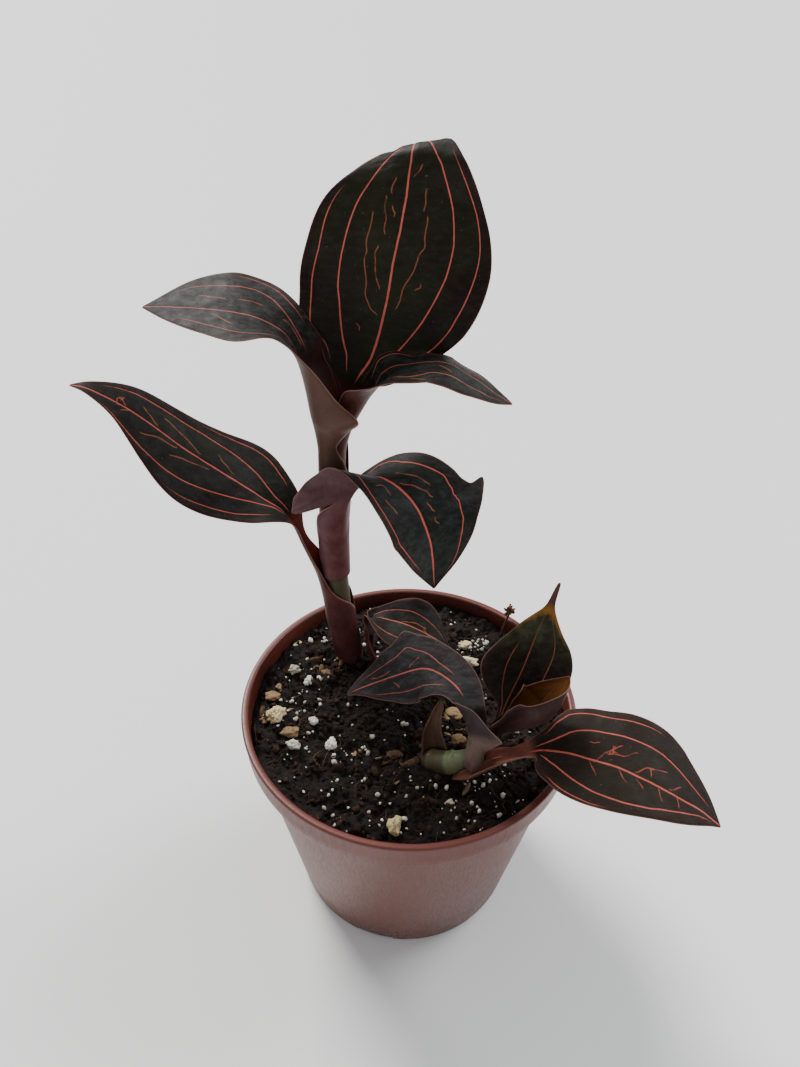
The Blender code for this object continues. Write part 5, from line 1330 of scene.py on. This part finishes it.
def young_paint():
    """Young blade that pales from dark mauve to olive yellow at the tip, with amber edges."""
    paint = leaf_paint("back_young_leaf_skin", {
        "Dark": shade(34, 22, 18), "Green": shade(36, 29, 20), "Warm": shade(46, 27, 22),
        "Vein": shade(164, 88, 72), "Margin": shade(118, 94, 84), "Sheen_and_bloom": 0.2})
    tree = paint.node_tree
    shader = tree.nodes["Principled BSDF"]
    body = shader.inputs["Base Color"].links[0].from_socket
    share = field(tree, "share")
    blotch = noise(tree, add_node(tree, "TexCoord").outputs["Object"], 260.0, 4.0, 0.65)
    mask = sums(tree, "ADD", share, ramp(tree, blotch, 0.3, 0.7, -0.05, 0.05))
    colour = mixed(tree, ramp(tree, mask, 0.52, 0.68, 0.0, 0.75), body,
                   mixed(tree, ramp(tree, blotch, 0.4, 0.6), shade(44, 46, 26), shade(66, 70, 50)))
    amber = sums(tree, "MULTIPLY", ramp(tree, field(tree, "margin"), 1.8, 0.4),
                 ramp(tree, mask, 0.64, 0.76))
    colour = mixed(tree, sums(tree, "MAXIMUM", amber, ramp(tree, mask, 0.76, 0.82)), colour,
                   shade(138, 92, 38))
    colour = mixed(tree, ramp(tree, share, 0.83, 0.88), colour, shade(84, 54, 48))
    tree.links.new(colour, shader.inputs["Base Color"])
    return paint


back_young = grow_leaf("back_young_leaf_blade", BACK_YOUNG, young_paint(), 160, 9)
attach(back_young, "root")
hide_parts("back_young_leaf")


# The rolled young leaf is still a cone, wrapped round itself: mauve-brown outside, and
# translucent ochre brown inside its slanting mouth.
ROLLED = {
    "midrib": [(29.6, -20.5, 95), (32.6, -23, 101.5), (37.5, -26, 107.5), (44, -26.2, 113.5),
               (50, -19.8, 124)],
    "facing": [(0, -0.7, 0.3, 0.8), (0.5, -0.7, 0.3, 0.9), (1, -0.5, 0.2, 1)],
    "stations": [(0, 6, 6, 0, 0, 155, 155, 0, 0), (0.25, 8, 8, 0, 0, 155, 155, 0, 0),
                 (0.42, 12, 13, 0, 0, 140, 150, 0, 0), (0.6, 14.5, 16.5, 0, 0, 112, 125, 0, 0),
                 (0.8, 10.5, 11.5, 0, 0, 80, 95, 0, 0), (1, 0.5, 0.5, 0, 0, 20, 20, 0, 0)],
    "veins": [(0.0, -0.7, -0.4, 0, 0.4, 0.7), (1.0, -0.7, -0.4, 0, 0.4, 0.7)],
    "reach": [(2, 3), (0.2, 0.9), (0.1, 1.0), (0.2, 0.9), (2, 3)],
    "vein_widths": (0.3, 0.35, 0.4, 0.35, 0.3), "stalk": (-1.0, -0.9), "seed": 201}

rolled = grow_leaf("rolled_leaf_cone", ROLLED, leaf_paint(
    "rolled_leaf_skin", {"Dark": shade(88, 50, 20), "Green": shade(98, 62, 22),
                         "Warm": shade(74, 36, 20), "Vein": shade(110, 70, 34),
                         "Margin": shade(140, 104, 84), "Sheen_and_bloom": 0.0},
    under=shade(56, 36, 34), under_flush=shade(44, 33, 25)), 150, 9)
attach(rolled, "root")
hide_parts("rolled_young_leaf")


# The dried sprig is a thin brown stalk with a shrivelled flower head, stuck in the soil
# near the back right of the rim.
low, high = (np.array(corner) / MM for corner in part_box("dried_sprig"))
SPRIG_FOOT = (37.2, 39.5, float(low[2]))
sprig_stalk = stem("sprig_stalk", [SPRIG_FOOT, (37.7, 40.0, low[2] + 3.5),
                                   (38.9, 41.0, low[2] + 7.0), (40.0, 42.0, low[2] + 10.0)],
                   (0.5, 0.32, 0.36, 0.5), (), dry_paint("sprig_stalk_skin", shade(66, 44, 34),
                                                         shade(88, 58, 44), shade(40, 26, 20)),
                   40, 12)
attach(sprig_stalk, "root")
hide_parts("dried_sprig")
dice = np.random.default_rng(77)
places = np.array([40.0, 42.0, low[2] + 11.2]) + dice.normal(0.0, 1.0, (46, 3)) * [0.85, 0.7, 0.95]
places = np.clip(places, low + 0.4, high - 0.3)
sprig_head = scattered("sprig_head", places, dice.uniform(0.35, 0.75, (46, 3)), 78, 1, toned_paint(
    "dry_petal", shade(74, 46, 34), shade(128, 88, 62), shade(44, 28, 22), 0.75, 0.95, 1500.0,
    0.0002), 0.25)
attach(sprig_head, "root")


# A plain pale floor, a soft pale surround and two soft far lamps behind, as in a bright room.
floor_paint, tree, shader, place = new_paint("pale_floor")
shader.inputs["Base Color"].default_value = shade(238, 238, 238)
shader.inputs["Roughness"].default_value = 0.7
reach = 9000.0
floor = put_mesh("floor", np.array([(-reach, -reach, -0.05), (reach, -reach, -0.05),
                                    (reach, reach, -0.05), (-reach, reach, -0.05)]),
                 [np.array([[0, 1, 2, 3]])], floor_paint, None, False)

world = bpy.data.worlds.new("soft_surround")
bpy.context.scene.world = world
world.use_nodes = True
world.node_tree.nodes["Background"].inputs[0].default_value = (0.86, 0.88, 0.90, 1.0)
world.node_tree.nodes["Background"].inputs[1].default_value = 0.62


def sun(name, toward, strength, spread, colour):
    """Far lamp that shines from a direction; `spread` degrees set how soft its shadows are."""
    light = bpy.data.lights.new(name, "SUN")
    light.energy = strength
    light.angle = math.radians(spread)
    light.color = colour
    piece = bpy.data.objects.new(name, light)
    back = unit(np.array(toward, float))
    side = unit(np.cross([0.0, 0.0, 1.0], back))
    turned = np.eye(4)
    turned[:3, 0] = side
    turned[:3, 1] = np.cross(back, side)
    turned[:3, 2] = back
    piece.matrix_world = turned.T.tolist()
    bpy.context.scene.collection.objects.link(piece)
    return piece


sun("back_left_sun", (-0.39, 0.58, 0.72), 4.2, 22.0, (1.0, 0.98, 0.95))
sun("back_right_sun", (0.66, 0.40, 0.64), 2.0, 30.0, (0.95, 0.98, 1.0))

camera = bpy.data.cameras.new("camera")
camera.lens = 27.03
camera.sensor_width = 36.0
camera.sensor_fit = "AUTO"
camera.clip_start = 0.01
camera.clip_end = 60.0
viewer = bpy.data.objects.new("camera", camera)
pitch = math.radians(37.31)
roll = math.radians(1.07)
ahead = np.array([0.0, math.cos(pitch), -math.sin(pitch)])
level = np.array([1.0, 0.0, 0.0])
over = np.cross(level, ahead)
side = level * math.cos(roll) + over * math.sin(roll)
over = -level * math.sin(roll) + over * math.cos(roll)
turned = np.eye(4)
turned[:3, 0] = side
turned[:3, 1] = over
turned[:3, 2] = -ahead
turned[:3, 3] = np.array([-4.4, -194.0, 312.2]) * MM
viewer.matrix_world = turned.T.tolist()
bpy.context.scene.collection.objects.link(viewer)
bpy.context.scene.camera = viewer

bpy.context.view_layer.update()
